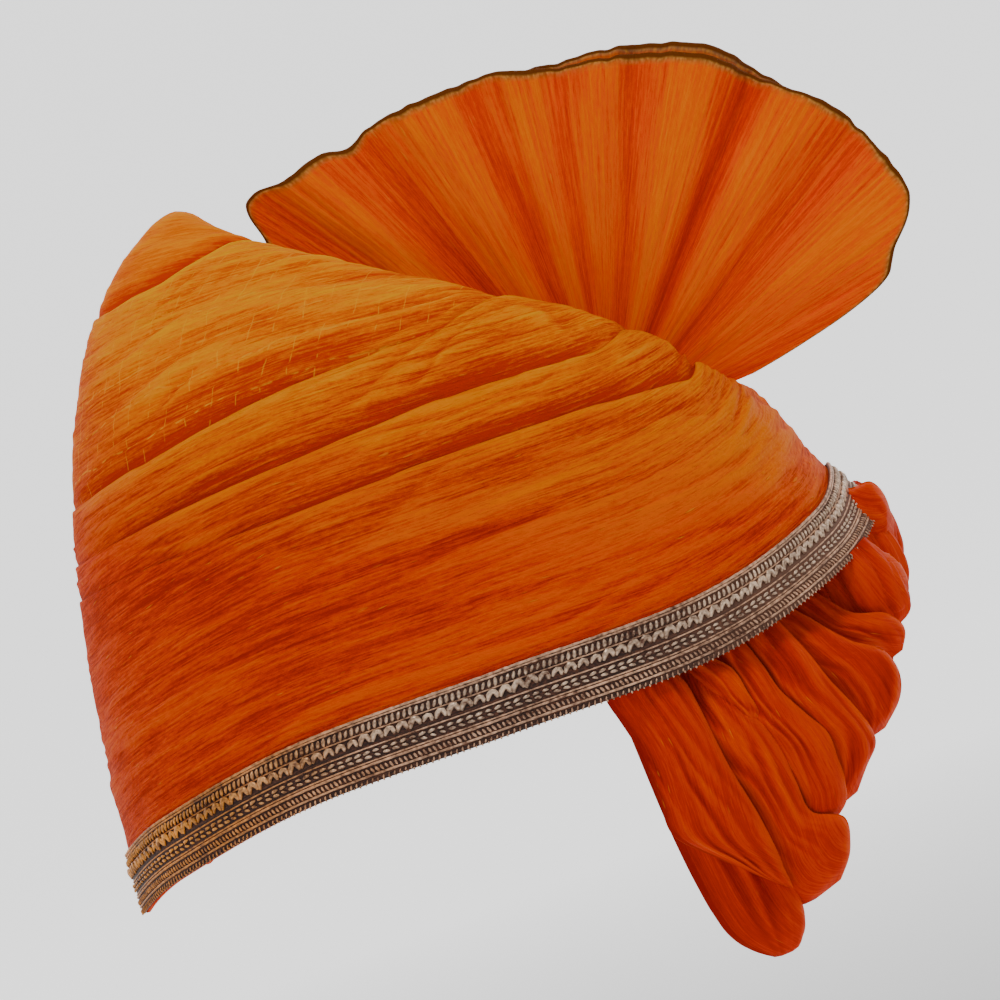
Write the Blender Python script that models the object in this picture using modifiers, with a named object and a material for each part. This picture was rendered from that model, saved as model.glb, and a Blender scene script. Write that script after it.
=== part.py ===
"""Tied turban, upright as it is worn: wound wraps round an oval rim, a lace band, a pleated fan that
stands in the slanted mouth and a gathered tail at the nape.

Metres, +Z up.  The brow faces -Y and the wearer's left side is +X.  The origin is the middle of the
rim's oval, level with the rim beside the head.  A place round the wall is a turn in degrees, 0 at the
brow, 90 at the left side, 180 at the nape and negative on the right side; a place up the wall is its
run from the rim's edge, along the cloth.
"""
import math
from functools import lru_cache

import bmesh
import bpy
from mathutils import Vector
from mathutils.geometry import interpolate_bezier

# Overall sizes
RIM_LENGTH = 0.247
RIM_WIDTH = 0.206
CROWN_HEIGHT = 0.176
HEAD_LENGTH = 0.196
HEAD_WIDTH = 0.152

# Cloth
WRAP_WALL = 0.0025
LAYER_GAP = 0.0006
UNDER_GAP = 0.001
TUCK = 0.006
TUCK_SHARE = 0.35
WRAP_RISE = 0.009
LIP_ROLL = 0.008
ROLL_TURN = math.radians(120)
TOP_WALL = 0.002
TOP_FOLD = 0.0012
TOP_FOLDS = 3
TOP_SAG = 2.2
TOP_TURNS = (15, 168)

# Lace band and the wound turns behind it
LACE_WIDTH = 0.0185
LACE_WALL = 0.0014
TURNS_RECESS = LACE_WIDTH / 2
TURN_SWELL = 0.0015
TURN_SWELLS = (0, 1, -0.3, 1, 0)

# Fan
FAN_REACH = 0.116
FAN_ROOT = 0.010
FAN_WALL = 0.0012
FAN_PLEAT = 0.0045
FAN_ACROSS = -0.005
FAN_ALONG = 0.229 * RIM_LENGTH
FAN_UP = 0.392 * CROWN_HEIGHT
FAN_LAYER = 0.0030
FAN_SPREAD = (6, 131)
BACK_SPREAD = (12, 126)
ROOT_GATHER = 1.6

# Gathered tail
TAIL_DROP = 0.087
FOLD_WIDTH = 0.024

# Fineness of the solids
TURN_STEP = 6
WALL_STEPS = 40
ROLL_STEPS = 10
ROLL_FINENESS = 3
TOP_LINES = 18
TOP_ROWS = 8
FAN_STEPS = 3
FAN_ROWS = 3
FAN_CROWDING = 1.3

UP = Vector((0, 0, 1))

# Half of the wall, from the brow to the nape.  The rim's height, the lip's height and the two that hang
# from it are shares of CROWN_HEIGHT, the lip's place is shares of RIM_LENGTH and RIM_WIDTH, and leans are
# degrees inward from upright.  far_drop lowers the lip on the wearer's right.
STATION_STEP = 30
STATION_COLUMNS = ("rim_up", "lip_along", "lip_across", "lip_up", "far_drop", "foot_lean", "lip_lean",
                   "top_sink", "valley_up")
STATIONS = (
    (-0.105, -0.180, 0.000, 1.000, 0.000, 3, 74, 0.060, 0.925),
    (-0.054, -0.134, 0.087, 0.934, 0.020, 3, 69, 0.085, 0.866),
    (-0.004, -0.024, 0.175, 0.827, 0.035, 2, 62, 0.125, 0.755),
    (0.000, 0.119, 0.223, 0.702, 0.040, 3, 55, 0.148, 0.525),
    (0.000, 0.263, 0.214, 0.577, 0.060, 5, 52, 0.136, 0.410),
    (0.060, 0.350, 0.126, 0.448, 0.075, 22, 38, 0.110, 0.316),
    (0.128, 0.380, 0.000, 0.400, 0.000, 40, 24, 0.090, 0.290),
)
FOOT_REACH = 0.35
LIP_REACH = 0.265

# Wraps from the rim up.  Each wrap's upper edge is its height at every station as shares of
# CROWN_HEIGHT, and goes on over the lip where it is higher; swell is the wrap's roundness in metres.
WRAP_COLUMNS = ("name", "edge_up", "swell", "rows", "colour")
WRAPS = (
    ("wrap_lower", (0.429, 0.446, 0.452, 0.457, 0.446, 0.429, 0.440), 0.0, 6, (0.55, 0.095, 0.012)),
    ("wrap_roll", (0.486, 0.509, 0.534, 0.548, 0.531, 0.520, 0.520), 0.0018, 4, (0.76, 0.20, 0.02)),
    ("wrap_middle", (0.577, 0.611, 0.651, 0.656, 0.645, 0.640, 0.640), 0.0015, 4, (0.70, 0.16, 0.018)),
    ("wrap_upper", (0.872, 0.895, 0.906, 0.906, 0.900, 0.900, 0.900), 0.0015, 6, (0.80, 0.24, 0.025)),
    ("wrap_peak", (1.100, 1.100, 1.100, 1.100, 1.100, 1.100, 1.100), 0.0, 4, (0.82, 0.26, 0.03)),
)
EDGE_BLEND = 0.010
EDGE_EARLY = 0.25

# Lengthwise folds that stand out of the lower wrap: share of the wall's height, turns where it fades in
# and out, and its depth in metres.
FOLD_COLUMNS = ("up", "first_turn", "last_turn", "depth")
LOWER_FOLDS = (
    (0.36, 70, 170, 0.0022),
    (0.56, 60, 165, 0.0020),
    (0.46, -150, -60, 0.0022),
)
FOLD_SPREAD = 0.13
FOLD_EDGE = 4
FOLD_FADE = 30

# Fan's edge: angle above the horizontal in degrees, from the nape side to the brow side, and the reach
# there as a share of FAN_REACH.
FAN_EDGE = (
    (6, 0.74), (14, 0.88), (20, 1.005), (36, 1.03), (57, 1.015), (72, 0.965),
    (87, 0.955), (103, 0.98), (115, 1.03), (128, 1.10), (131, 1.04),
)
# Fan's pleats: angle, and how far the cloth stands back from the front as a share of FAN_PLEAT.
FAN_PLEATS = (
    (6, 0.4), (18, -0.3), (30.6, 1.1), (41, -0.6), (48.3, 1.7), (57, -0.4), (66, 0.8), (72.5, 0.0),
    (79.4, 0.9), (86, -0.3), (92.4, 1.0), (102, -0.5), (112, 1.0), (122, -0.2), (131, 0.5),
)
# Back leaf: its own reach beyond the front leaf's, as a share of FAN_REACH.
BACK_EDGE = (
    (12, -0.05), (36, -0.03), (44, 0.0), (56, 0.03), (68, 0.03), (78, 0.0), (90, -0.03), (126, -0.05),
)

# Folds of the tail, each a line of sections from inside the rim to its tip.  along and across are shares
# of RIM_LENGTH and RIM_WIDTH, drop of TAIL_DROP, and half_width and half_depth of FOLD_WIDTH.
TAIL_COLUMNS = ("along", "across", "drop", "half_width", "half_depth")
TAIL_FOLDS = {
    "twist": (
        (0.135, 0.408, -0.044, 0.52, 0.43),
        (0.166, 0.417, 0.198, 0.61, 0.48),
        (0.172, 0.403, 0.432, 0.61, 0.48),
        (0.179, 0.393, 0.590, 0.64, 0.48),
        (0.188, 0.383, 0.721, 0.72, 0.48),
        (0.193, 0.374, 0.856, 0.72, 0.43),
        (0.198, 0.369, 0.976, 0.53, 0.34),
        (0.197, 0.364, 1.046, 0.19, 0.19),
    ),
    "long_fold": (
        (0.218, 0.388, 0.057, 0.41, 0.38),
        (0.243, 0.398, 0.287, 0.50, 0.48),
        (0.262, 0.374, 0.530, 0.55, 0.48),
        (0.275, 0.359, 0.694, 0.58, 0.43),
        (0.286, 0.350, 0.828, 0.44, 0.38),
        (0.291, 0.345, 0.906, 0.19, 0.19),
    ),
    "side_fold": (
        (0.263, 0.369, -0.000, 0.39, 0.38),
        (0.284, 0.374, 0.205, 0.47, 0.48),
        (0.309, 0.340, 0.434, 0.50, 0.48),
        (0.314, 0.325, 0.577, 0.39, 0.38),
        (0.308, 0.320, 0.664, 0.17, 0.19),
    ),
    "outer_fold": (
        (0.322, 0.330, -0.035, 0.39, 0.38),
        (0.347, 0.335, 0.133, 0.45, 0.48),
        (0.374, 0.311, 0.313, 0.45, 0.48),
        (0.373, 0.277, 0.467, 0.36, 0.38),
        (0.353, 0.262, 0.591, 0.17, 0.19),
    ),
    "nape_fold": (
        (0.373, 0.272, -0.077, 0.42, 0.38),
        (0.402, 0.262, 0.133, 0.53, 0.48),
        (0.423, 0.223, 0.302, 0.45, 0.43),
        (0.414, 0.204, 0.418, 0.20, 0.19),
    ),
    "mid_fold": (
        (0.430, 0.194, -0.135, 0.42, 0.38),
        (0.448, 0.194, -0.000, 0.51, 0.43),
        (0.460, 0.175, 0.115, 0.42, 0.43),
        (0.464, 0.160, 0.214, 0.17, 0.24),
    ),
    "back_fold": (
        (0.458, 0.087, -0.207, 0.46, 0.34),
        (0.470, 0.087, -0.079, 0.57, 0.43),
        (0.470, 0.073, 0.047, 0.46, 0.38),
        (0.469, 0.063, 0.141, 0.17, 0.19),
    ),
    "tie_fold": (
        (0.482, -0.058, -0.329, 0.20, 0.12),
        (0.494, -0.068, -0.235, 0.38, 0.24),
        (0.484, -0.068, -0.119, 0.46, 0.38),
        (0.466, -0.063, -0.020, 0.41, 0.38),
        (0.455, -0.058, 0.064, 0.17, 0.24),
    ),
    "right_back_fold": (
        (0.415, -0.150, -0.26, 0.50, 0.36), (0.432, -0.160, -0.02, 0.60, 0.44),
        (0.424, -0.160, 0.22, 0.56, 0.44), (0.398, -0.150, 0.44, 0.26, 0.26),
    ),
    "right_side_fold": (
        (0.350, -0.265, -0.12, 0.50, 0.36), (0.372, -0.285, 0.06, 0.60, 0.44),
        (0.366, -0.275, 0.24, 0.54, 0.42), (0.346, -0.255, 0.40, 0.22, 0.24),
    ),
}
FOLD_SIDES = 5

# Gathered root of the tail: a strip inside the rim that all its folds hang from.
ROOT_TURNS = (108, 238)
ROOT_STEPS = 15
ROOT_DROP = 0.016
ROOT_DEPTH = 0.012
INSIDE_HEAD = 0.9


def smooth(share):
    share = min(1.0, max(0.0, share))
    return share * share * (3 - 2 * share)


def bend(before, first, last, after, share):
    """A value on a smooth curve through four even points, between the second and the third."""
    slope_in, slope_out = (last - before) / 2, (after - first) / 2
    rest = first - last
    return first + share * (slope_in + share * (-3 * rest - 2 * slope_in - slope_out
                                                + share * (2 * rest + slope_in + slope_out)))


def round_half(values, turn, side=1):
    """A station value at any turn; beyond the brow and the nape the row mirrors, or swaps sides."""
    place = abs(turn) / STATION_STEP
    first = min(int(place), len(values) - 2)
    before = values[first - 1] if first else side * values[1]
    after = values[first + 2] if first + 2 < len(values) else side * values[-2]
    return bend(before, values[first], values[first + 1], after, place - first)


def station(name, turn):
    place = STATION_COLUMNS.index(name)
    side = -1 if name == "lip_across" else 1
    return round_half([row[place] for row in STATIONS], turn, side)


def along_line(rows, place):
    """Value at a place in a table of (place, value) rows, eased between them."""
    if place <= rows[0][0]:
        return rows[0][1]
    for (low, first), (high, last) in zip(rows, rows[1:]):
        if place <= high:
            return first + (last - first) * smooth((place - low) / (high - low))
    return rows[-1][1]


def wrap_turn(turn):
    return (turn + 180) % 360 - 180


def rim_point(turn):
    angle = math.radians(turn)
    return Vector((RIM_WIDTH / 2 * math.sin(angle), -RIM_LENGTH / 2 * math.cos(angle),
                   CROWN_HEIGHT * station("rim_up", turn)))


def lip_point(turn):
    side = math.copysign(1, turn)
    drop = station("far_drop", turn) if turn < 0 else 0
    return Vector((side * RIM_WIDTH * station("lip_across", turn), RIM_LENGTH * station("lip_along", turn),
                   CROWN_HEIGHT * (station("lip_up", turn) - drop)))


@lru_cache(maxsize=None)
def wall_path(turn):
    """Points up the wall and over its rolled lip, their runs from the rim, and the run at the roll."""
    rim, lip = rim_point(turn), lip_point(turn)
    inward = Vector((lip.x - rim.x, lip.y - rim.y, 0)).normalized()
    foot_lean = math.radians(station("foot_lean", turn))
    lean = math.radians(station("lip_lean", turn))
    foot_way = inward * math.sin(foot_lean) + UP * math.cos(foot_lean)
    lip_way = inward * math.sin(lean) + UP * math.cos(lean)
    outward = UP * math.sin(lean) - inward * math.cos(lean)
    top = lip - UP * LIP_ROLL * (1 - math.sin(lean)) - inward * LIP_ROLL * math.cos(lean)
    chord = (top - rim).length
    points = interpolate_bezier(rim, rim + foot_way * chord * FOOT_REACH,
                                top - lip_way * chord * LIP_REACH, top, WALL_STEPS)
    for step in range(1, ROLL_STEPS + 1):
        angle = ROLL_TURN * step / ROLL_STEPS
        points.append(top + LIP_ROLL * (outward * (math.cos(angle) - 1) + lip_way * math.sin(angle)))
    runs = [0.0]
    for first, last in zip(points, points[1:]):
        runs.append(runs[-1] + (last - first).length)
    return points, runs, runs[WALL_STEPS - 1]


def wall_point(turn, run):
    points, runs, _ = wall_path(round(wrap_turn(turn), 6))
    for place in range(1, len(runs) - 1):
        if runs[place] >= run:
            break
    share = (run - runs[place - 1]) / (runs[place] - runs[place - 1])
    return points[place - 1].lerp(points[place], share)


def wall_out(turn, run):
    """Unit normal of the wall, pointing out of the turban."""
    half_turn, half_run = 1.0, 0.0012
    round_way = wall_point(turn + half_turn, run) - wall_point(turn - half_turn, run)
    up_way = wall_point(turn, run + half_run) - wall_point(turn, run - half_run)
    return round_way.cross(up_way).normalized()


def off_wall(turn, run, out):
    return wall_point(turn, run) + wall_out(turn, run) * out


def run_at_height(turn, height):
    points, runs, lip_run = wall_path(turn)
    for place in range(1, WALL_STEPS):
        if points[place].z >= height:
            share = (height - points[place - 1].z) / (points[place].z - points[place - 1].z)
            return runs[place - 1] + share * (runs[place] - runs[place - 1])
    return lip_run


def edge_past_lip(index, turn):
    """How far a wrap's upper edge is above the wall's end, below zero while the edge is free."""
    points, _, _ = wall_path(turn)
    edge = WRAPS[index][WRAP_COLUMNS.index("edge_up")]
    return CROWN_HEIGHT * round_half(edge, turn) - points[WALL_STEPS - 1].z


@lru_cache(maxsize=None)
def edge_run(index, turn):
    """Run to a wrap's upper edge, which goes on over the roll where the edge is above the lip."""
    points, runs, lip_run = wall_path(turn)
    past = edge_past_lip(index, turn)
    free = run_at_height(turn, min(0, past) + points[WALL_STEPS - 1].z)
    return free + (runs[-1] - free) * smooth(past / EDGE_BLEND + EDGE_EARLY)


def lower_fold(turn, run):
    """Height of the lower wrap's lengthwise folds above the wall."""
    share = run / edge_run(0, turn)
    depth = 0.0
    for row in LOWER_FOLDS:
        fold = dict(zip(FOLD_COLUMNS, row))
        fade = smooth((turn - fold["first_turn"]) / FOLD_FADE)
        fade *= smooth((fold["last_turn"] - turn) / FOLD_FADE)
        near = (share - fold["up"]) / FOLD_SPREAD
        depth += fold["depth"] * fade * math.exp(-near * near * (FOLD_EDGE if near > 0 else 1))
    return depth


@lru_cache(maxsize=None)
def wrap_out(index, turn, run):
    """How far a wrap's outer face stands off the wall: tucked under the wrap below it, then free."""
    if index == 0:
        return lower_fold(turn, run) * smooth((run - LACE_WIDTH) / WRAP_RISE)
    cover = edge_run(index - 1, turn)
    tucked = wrap_out(index - 1, turn, min(run, cover)) - WRAP_WALL - UNDER_GAP
    shown = max(0.0, run - cover - 2 * LAYER_GAP)
    width = edge_run(index, turn) - cover
    swell = WRAPS[index][WRAP_COLUMNS.index("swell")] * math.sin(math.pi * min(1, shown / width))
    return tucked + (swell - tucked) * smooth(shown / min(WRAP_RISE, width / 2))


def wrap_end(index, side):
    """Last turn of a wrap on one side, short of where the wrap below it goes over the lip."""
    turn = 0
    while edge_past_lip(index - 1, side * (turn + TURN_STEP)) < -EDGE_BLEND * EDGE_EARLY:
        turn += TURN_STEP
    return side * turn


def wrap_turns(index):
    """Turns of a wrap's lines: all round for the lowest, and a crescent across the brow for the rest."""
    if index == 0:
        return list(range(-180, 180, TURN_STEP))
    return list(range(wrap_end(index, -1), wrap_end(index, 1) + 1, TURN_STEP))


def even_runs(turn, low, top, rows):
    """Runs above low up to top, in rows that are closer together over the lip's roll."""
    lip_run = wall_path(turn)[2]
    wall = max(0.0, min(top, lip_run) - low)
    roll = max(0.0, top - max(low, lip_run)) * ROLL_FINENESS
    runs = []
    for row in range(1, rows + 1):
        place = (wall + roll) * row / rows
        runs.append(low + min(place, wall) + max(0.0, place - wall) / ROLL_FINENESS)
    return runs


def wrap_runs(index, turn):
    """Runs of the rows of points up a wrap at one turn."""
    rows = WRAPS[index][WRAP_COLUMNS.index("rows")]
    top = edge_run(index, turn)
    if index == 0:
        return [0, LACE_WIDTH / 2, LACE_WIDTH] + even_runs(turn, LACE_WIDTH, top, rows)
    cover = edge_run(index - 1, turn)
    below = edge_run(index - 2, turn) if index > 1 else 0
    tuck = min(TUCK, (cover - below) * TUCK_SHARE)
    free = cover + 2 * LAYER_GAP
    return [cover - tuck, free] + even_runs(turn, free, top, rows)


def paint(obj, colour, roughness=0.7, metallic=0.0):
    """Give the object a cloth or thread material of its own."""
    material = bpy.data.materials.new(obj.name)
    material.use_nodes = True
    shader = material.node_tree.nodes["Principled BSDF"]
    shader.inputs["Base Color"].default_value = (*colour, 1)
    shader.inputs["Roughness"].default_value = roughness
    shader.inputs["Metallic"].default_value = metallic
    material.diffuse_color = (*colour, 1)
    obj.data.materials.append(material)


def add_object(name, shape, collection):
    mesh = bpy.data.meshes.new(name)
    shape.to_mesh(mesh)
    shape.free()
    mesh.shade_smooth()
    mesh.set_sharp_from_angle(angle=math.radians(50))
    obj = bpy.data.objects.new(name, mesh)
    collection.objects.link(obj)
    return obj


def loft(lines, ring=False, tube=False):
    """Faces between each line of points and the next; a ring joins the last line to the first, and a
    tube joins the ends of each line."""
    shape = bmesh.new()
    grid = [[shape.verts.new(point) for point in line] for line in lines]
    pairs = list(zip(grid, grid[1:]))
    if ring:
        pairs.append((grid[-1], grid[0]))
    for first, last in pairs:
        steps = range(len(first) if tube else len(first) - 1)
        for low in steps:
            high = (low + 1) % len(first)
            shape.faces.new((first[low], last[low], last[high], first[high]))
    return shape


def thicken(obj, wall, offset=-1):
    solid = obj.modifiers.new("wall", "SOLIDIFY")
    solid.thickness = wall
    solid.offset = offset


def make_wrap(index, collection):
    row = dict(zip(WRAP_COLUMNS, WRAPS[index]))
    lines = []
    for turn in wrap_turns(index):
        lines.append([off_wall(turn, run, wrap_out(index, turn, run)) for run in wrap_runs(index, turn)])
    obj = add_object(row["name"], loft(lines, ring=index == 0), collection)
    thicken(obj, WRAP_WALL)
    paint(obj, row["colour"])


def make_lace_band(collection):
    out = LAYER_GAP + LACE_WALL
    lines = [[off_wall(turn, run, out) for run in (0, LACE_WIDTH / 2, LACE_WIDTH)] for turn in wrap_turns(0)]
    obj = add_object("lace_band", loft(lines, ring=True), collection)
    thicken(obj, LACE_WALL)
    paint(obj, (0.55, 0.45, 0.36), roughness=0.4, metallic=0.4)


def head_point(turn, height):
    """Point of the hollow's wall, an oval for the head, straight up from the rim."""
    angle = math.radians(turn)
    return Vector((HEAD_WIDTH / 2 * math.sin(angle), -HEAD_LENGTH / 2 * math.cos(angle), height))


def make_inner_turns(collection):
    """Cloth wound round the head behind the lower wrap, a thick ring whose turns swell underneath."""
    out = -WRAP_WALL - LAYER_GAP
    lines = []
    for turn in wrap_turns(0):
        foot, top = off_wall(turn, TURNS_RECESS, out), off_wall(turn, LACE_WIDTH, out)
        hollow = head_point(turn, foot.z)
        line = [head_point(turn, top.z), top]
        for step, swell in enumerate(TURN_SWELLS):
            line.append(foot.lerp(hollow, step / (len(TURN_SWELLS) - 1)) - UP * TURN_SWELL * swell)
        lines.append(line)
    shape = loft(lines, ring=True, tube=True)
    bmesh.ops.recalc_face_normals(shape, faces=shape.faces)
    obj = add_object("inner_turns", shape, collection)
    paint(obj, (0.50, 0.08, 0.012))


def top_border(turn):
    """Edge of the cloth inside the mouth, under the lip and clear of two layers of wrap."""
    height = lip_point(turn).z - CROWN_HEIGHT * station("top_sink", turn)
    return off_wall(turn, run_at_height(turn, height), -2 * (WRAP_WALL + LAYER_GAP))


def top_point(turn, share):
    """Point of the cloth that closes the mouth, at a share from the right side, -1, to the left, 1."""
    right, left = top_border(-turn), top_border(turn)
    valley = CROWN_HEIGHT * station("valley_up", turn)
    edge = left if share > 0 else right
    point = right.lerp(left, (share + 1) / 2)
    fold = TOP_FOLD * math.sin(share * TOP_FOLDS * math.pi) * (1 - share * share)
    point.z = valley + (edge.z - valley) * abs(share) ** TOP_SAG + fold
    return point


def make_crown_top(collection):
    first, last = TOP_TURNS
    lines = []
    for step in range(TOP_LINES):
        turn = first + (last - first) * step / (TOP_LINES - 1)
        lines.append([top_point(turn, 1 - 2 * row / TOP_ROWS) for row in range(TOP_ROWS + 1)])
    shape = loft(lines)
    obj = add_object("crown_top", shape, collection)
    thicken(obj, TOP_WALL)
    paint(obj, (0.60, 0.12, 0.014))


def fan_point(angle, reach, set_back):
    """Point of a fan leaf: reach from the root's centre at an angle above the horizontal."""
    way = math.radians(angle)
    pleat = along_line(FAN_PLEATS, angle) * FAN_PLEAT * (reach / FAN_REACH) ** ROOT_GATHER
    return Vector((FAN_ACROSS - set_back - pleat, FAN_ALONG + reach * math.cos(way),
                   FAN_UP + reach * math.sin(way)))


def make_fan_leaf(name, spread, beyond, set_back, colour, collection):
    """One pleated leaf from its gathered root to its edge; beyond is its reach past the front leaf's."""
    first, last = spread
    angles = [first]
    for (low, _), (high, _) in zip(FAN_PLEATS, FAN_PLEATS[1:]):
        angles += [low + (high - low) * step / FAN_STEPS for step in range(FAN_STEPS)]
    angles = sorted({angle for angle in angles + [last] if first <= angle <= last})
    lines = []
    for angle in angles:
        past = along_line(beyond, angle) if beyond else 0
        length = FAN_REACH * (along_line(FAN_EDGE, angle) + past) - FAN_ROOT
        reaches = [FAN_ROOT + length * (row / FAN_ROWS) ** FAN_CROWDING for row in range(FAN_ROWS + 1)]
        lines.append([fan_point(angle, reach, set_back) for reach in reaches])
    obj = add_object(name, loft(lines), collection)
    thicken(obj, FAN_WALL)
    paint(obj, colour)


def rim_out(point):
    """Level direction out of the rim's oval at a point."""
    return Vector((point.x / (RIM_WIDTH / 2) ** 2, point.y / (RIM_LENGTH / 2) ** 2, 0)).normalized()


def make_tail_fold(name, rows, collection):
    """One soft fold of the tail, a coarse cage of rings round its line that is then subdivided."""
    sections = [dict(zip(TAIL_COLUMNS, row)) for row in rows]
    centres = [Vector((section["across"] * RIM_WIDTH, section["along"] * RIM_LENGTH,
                       -section["drop"] * TAIL_DROP)) for section in sections]
    lines = []
    for place, (centre, section) in enumerate(zip(centres, sections)):
        before, after = centres[max(place - 1, 0)], centres[min(place + 1, len(rows) - 1)]
        way = (after - before).normalized()
        wide = way.cross(rim_out(centre)).normalized()
        deep = wide.cross(way).normalized()
        wide *= section["half_width"] * FOLD_WIDTH
        deep *= section["half_depth"] * FOLD_WIDTH
        angles = [math.tau * side / FOLD_SIDES for side in range(FOLD_SIDES)]
        lines.append([centre + wide * math.cos(angle) + deep * math.sin(angle) for angle in angles])
    shape = loft(lines, tube=True)
    shape.verts.ensure_lookup_table()
    shape.faces.new(shape.verts[:FOLD_SIDES])
    shape.faces.new(shape.verts[-FOLD_SIDES:])
    bmesh.ops.recalc_face_normals(shape, faces=shape.faces)
    obj = add_object(name, shape, collection)
    soft = obj.modifiers.new("soft", "SUBSURF")
    soft.levels = soft.render_levels = 1
    return obj


def make_rim_cutter(collection):
    """Room that the rim keeps above the tail: the wrap and the band with a gap, and the wound turns."""
    lines = []
    under = Vector((0, 0, -LAYER_GAP))
    for turn in wrap_turns(0):
        inner = off_wall(turn, 0, -WRAP_WALL - LAYER_GAP)
        outer = off_wall(turn, 0, 2 * LAYER_GAP + LACE_WALL)
        ceiling = off_wall(turn, TURNS_RECESS, -WRAP_WALL - LAYER_GAP) - UP * (TURN_SWELL + LAYER_GAP)
        top = off_wall(turn, LACE_WIDTH + LAYER_GAP, 2 * LAYER_GAP + LACE_WALL)
        deep = head_point(turn, 0) * INSIDE_HEAD
        lines.append([
            outer + under, top, Vector((deep.x, deep.y, top.z)), Vector((deep.x, deep.y, ceiling.z)),
            ceiling, inner + under,
        ])
    shape = loft(lines, ring=True, tube=True)
    bmesh.ops.recalc_face_normals(shape, faces=shape.faces)
    obj = add_object("rim_cutter", shape, collection)
    obj.hide_render = True
    obj.display_type = "WIRE"
    return obj


def make_tail_root(collection):
    """The gathered strip behind the rim at the nape, a bar bent round the head."""
    lines = []
    first, last = ROOT_TURNS
    for step in range(ROOT_STEPS):
        turn = first + (last - first) * step / (ROOT_STEPS - 1)
        rim = rim_point(wrap_turn(turn))
        out = rim_out(rim)
        outer = rim - out * (WRAP_WALL + 3 * LAYER_GAP)
        inner = outer - out * ROOT_DEPTH
        lines.append([point + UP * up for point, up in (
            (outer, TURNS_RECESS), (inner, TURNS_RECESS), (inner, -ROOT_DROP), (outer, -ROOT_DROP)
        )])
    shape = loft(lines, tube=True)
    shape.verts.ensure_lookup_table()
    shape.faces.new(shape.verts[:4])
    shape.faces.new(shape.verts[-4:])
    bmesh.ops.recalc_face_normals(shape, faces=shape.faces)
    return add_object("tail_root", shape, collection)


def combine(obj, other, operation):
    boolean = obj.modifiers.new(operation.lower(), "BOOLEAN")
    boolean.operation = operation
    boolean.solver = "MANIFOLD"
    boolean.object = other


def make_gathered_tail(collection, helpers):
    """The tail's folds joined into one cloth and cut clear of the rim."""
    folds = [make_tail_root(helpers)]
    folds += [make_tail_fold(name, rows, helpers) for name, rows in TAIL_FOLDS.items()]
    for fold in folds[1:]:
        fold.hide_render = True
        fold.display_type = "WIRE"
        combine(folds[0], fold, "UNION")
    combine(folds[0], make_rim_cutter(helpers), "DIFFERENCE")
    tail = folds[0]
    helpers.objects.unlink(tail)
    collection.objects.link(tail)
    tail.name = "gathered_tail"
    paint(tail, (0.42, 0.045, 0.008))


def clear_scene():
    for obj in list(bpy.data.objects):
        bpy.data.objects.remove(obj, do_unlink=True)


def main():
    clear_scene()
    turban = bpy.data.collections.new("tied_turban")
    helpers = bpy.data.collections.new("helpers")
    bpy.context.scene.collection.children.link(turban)
    bpy.context.scene.collection.children.link(helpers)
    for index in range(len(WRAPS)):
        make_wrap(index, turban)
    make_lace_band(turban)
    make_inner_turns(turban)
    make_crown_top(turban)
    make_fan_leaf("fan_front", FAN_SPREAD, (), 0, (0.72, 0.17, 0.02), turban)
    make_fan_leaf("fan_back", BACK_SPREAD, BACK_EDGE, FAN_LAYER, (0.66, 0.14, 0.02), turban)
    make_gathered_tail(turban, helpers)


main()
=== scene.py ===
"""Looks of a tied turban: wound crinkled cloth, a metallic lace band, a pleated fan and a gathered tail.

Metres, +Z up, the brow faces -Y and the wearer's left side is +X.  A place round the wall is a turn in
degrees, 0 at the brow, 90 at the left side, 180 at the nape and negative on the right side; a place up the
wall is its run from the rim's edge, along the cloth.  An out is how far a point stands off the wall.
"""
import math

import bmesh
import bpy
import numpy as np
from mathutils import Matrix, Vector


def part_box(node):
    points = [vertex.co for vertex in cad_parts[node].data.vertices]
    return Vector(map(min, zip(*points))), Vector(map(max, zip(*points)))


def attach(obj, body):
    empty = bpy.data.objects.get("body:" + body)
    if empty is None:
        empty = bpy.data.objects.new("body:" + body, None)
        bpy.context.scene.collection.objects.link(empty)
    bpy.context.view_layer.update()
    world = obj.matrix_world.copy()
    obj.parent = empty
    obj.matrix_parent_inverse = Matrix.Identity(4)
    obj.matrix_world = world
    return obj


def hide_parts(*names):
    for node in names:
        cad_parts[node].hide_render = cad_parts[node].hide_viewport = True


bl_info = {
    "name": "Tied turban",
    "version": (1, 0, 0),
    "blender": (4, 5, 0),
    "location": "View3D > Sidebar > Turban",
    "description": "Dresses a tied turban's frame in crinkled cloth, lace, a pleated fan and a gathered tail",
    "category": "Add Mesh",
}

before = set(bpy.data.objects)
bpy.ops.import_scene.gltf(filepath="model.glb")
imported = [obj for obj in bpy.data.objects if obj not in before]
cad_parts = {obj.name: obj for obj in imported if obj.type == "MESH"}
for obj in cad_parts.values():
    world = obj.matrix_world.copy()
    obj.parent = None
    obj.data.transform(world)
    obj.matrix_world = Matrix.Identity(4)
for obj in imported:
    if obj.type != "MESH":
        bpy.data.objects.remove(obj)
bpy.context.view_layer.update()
RIM_LOW, RIM_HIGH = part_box("wrap_lower")
CROWN_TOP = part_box("wrap_peak")[1][2]
BODY = "root"

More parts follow.
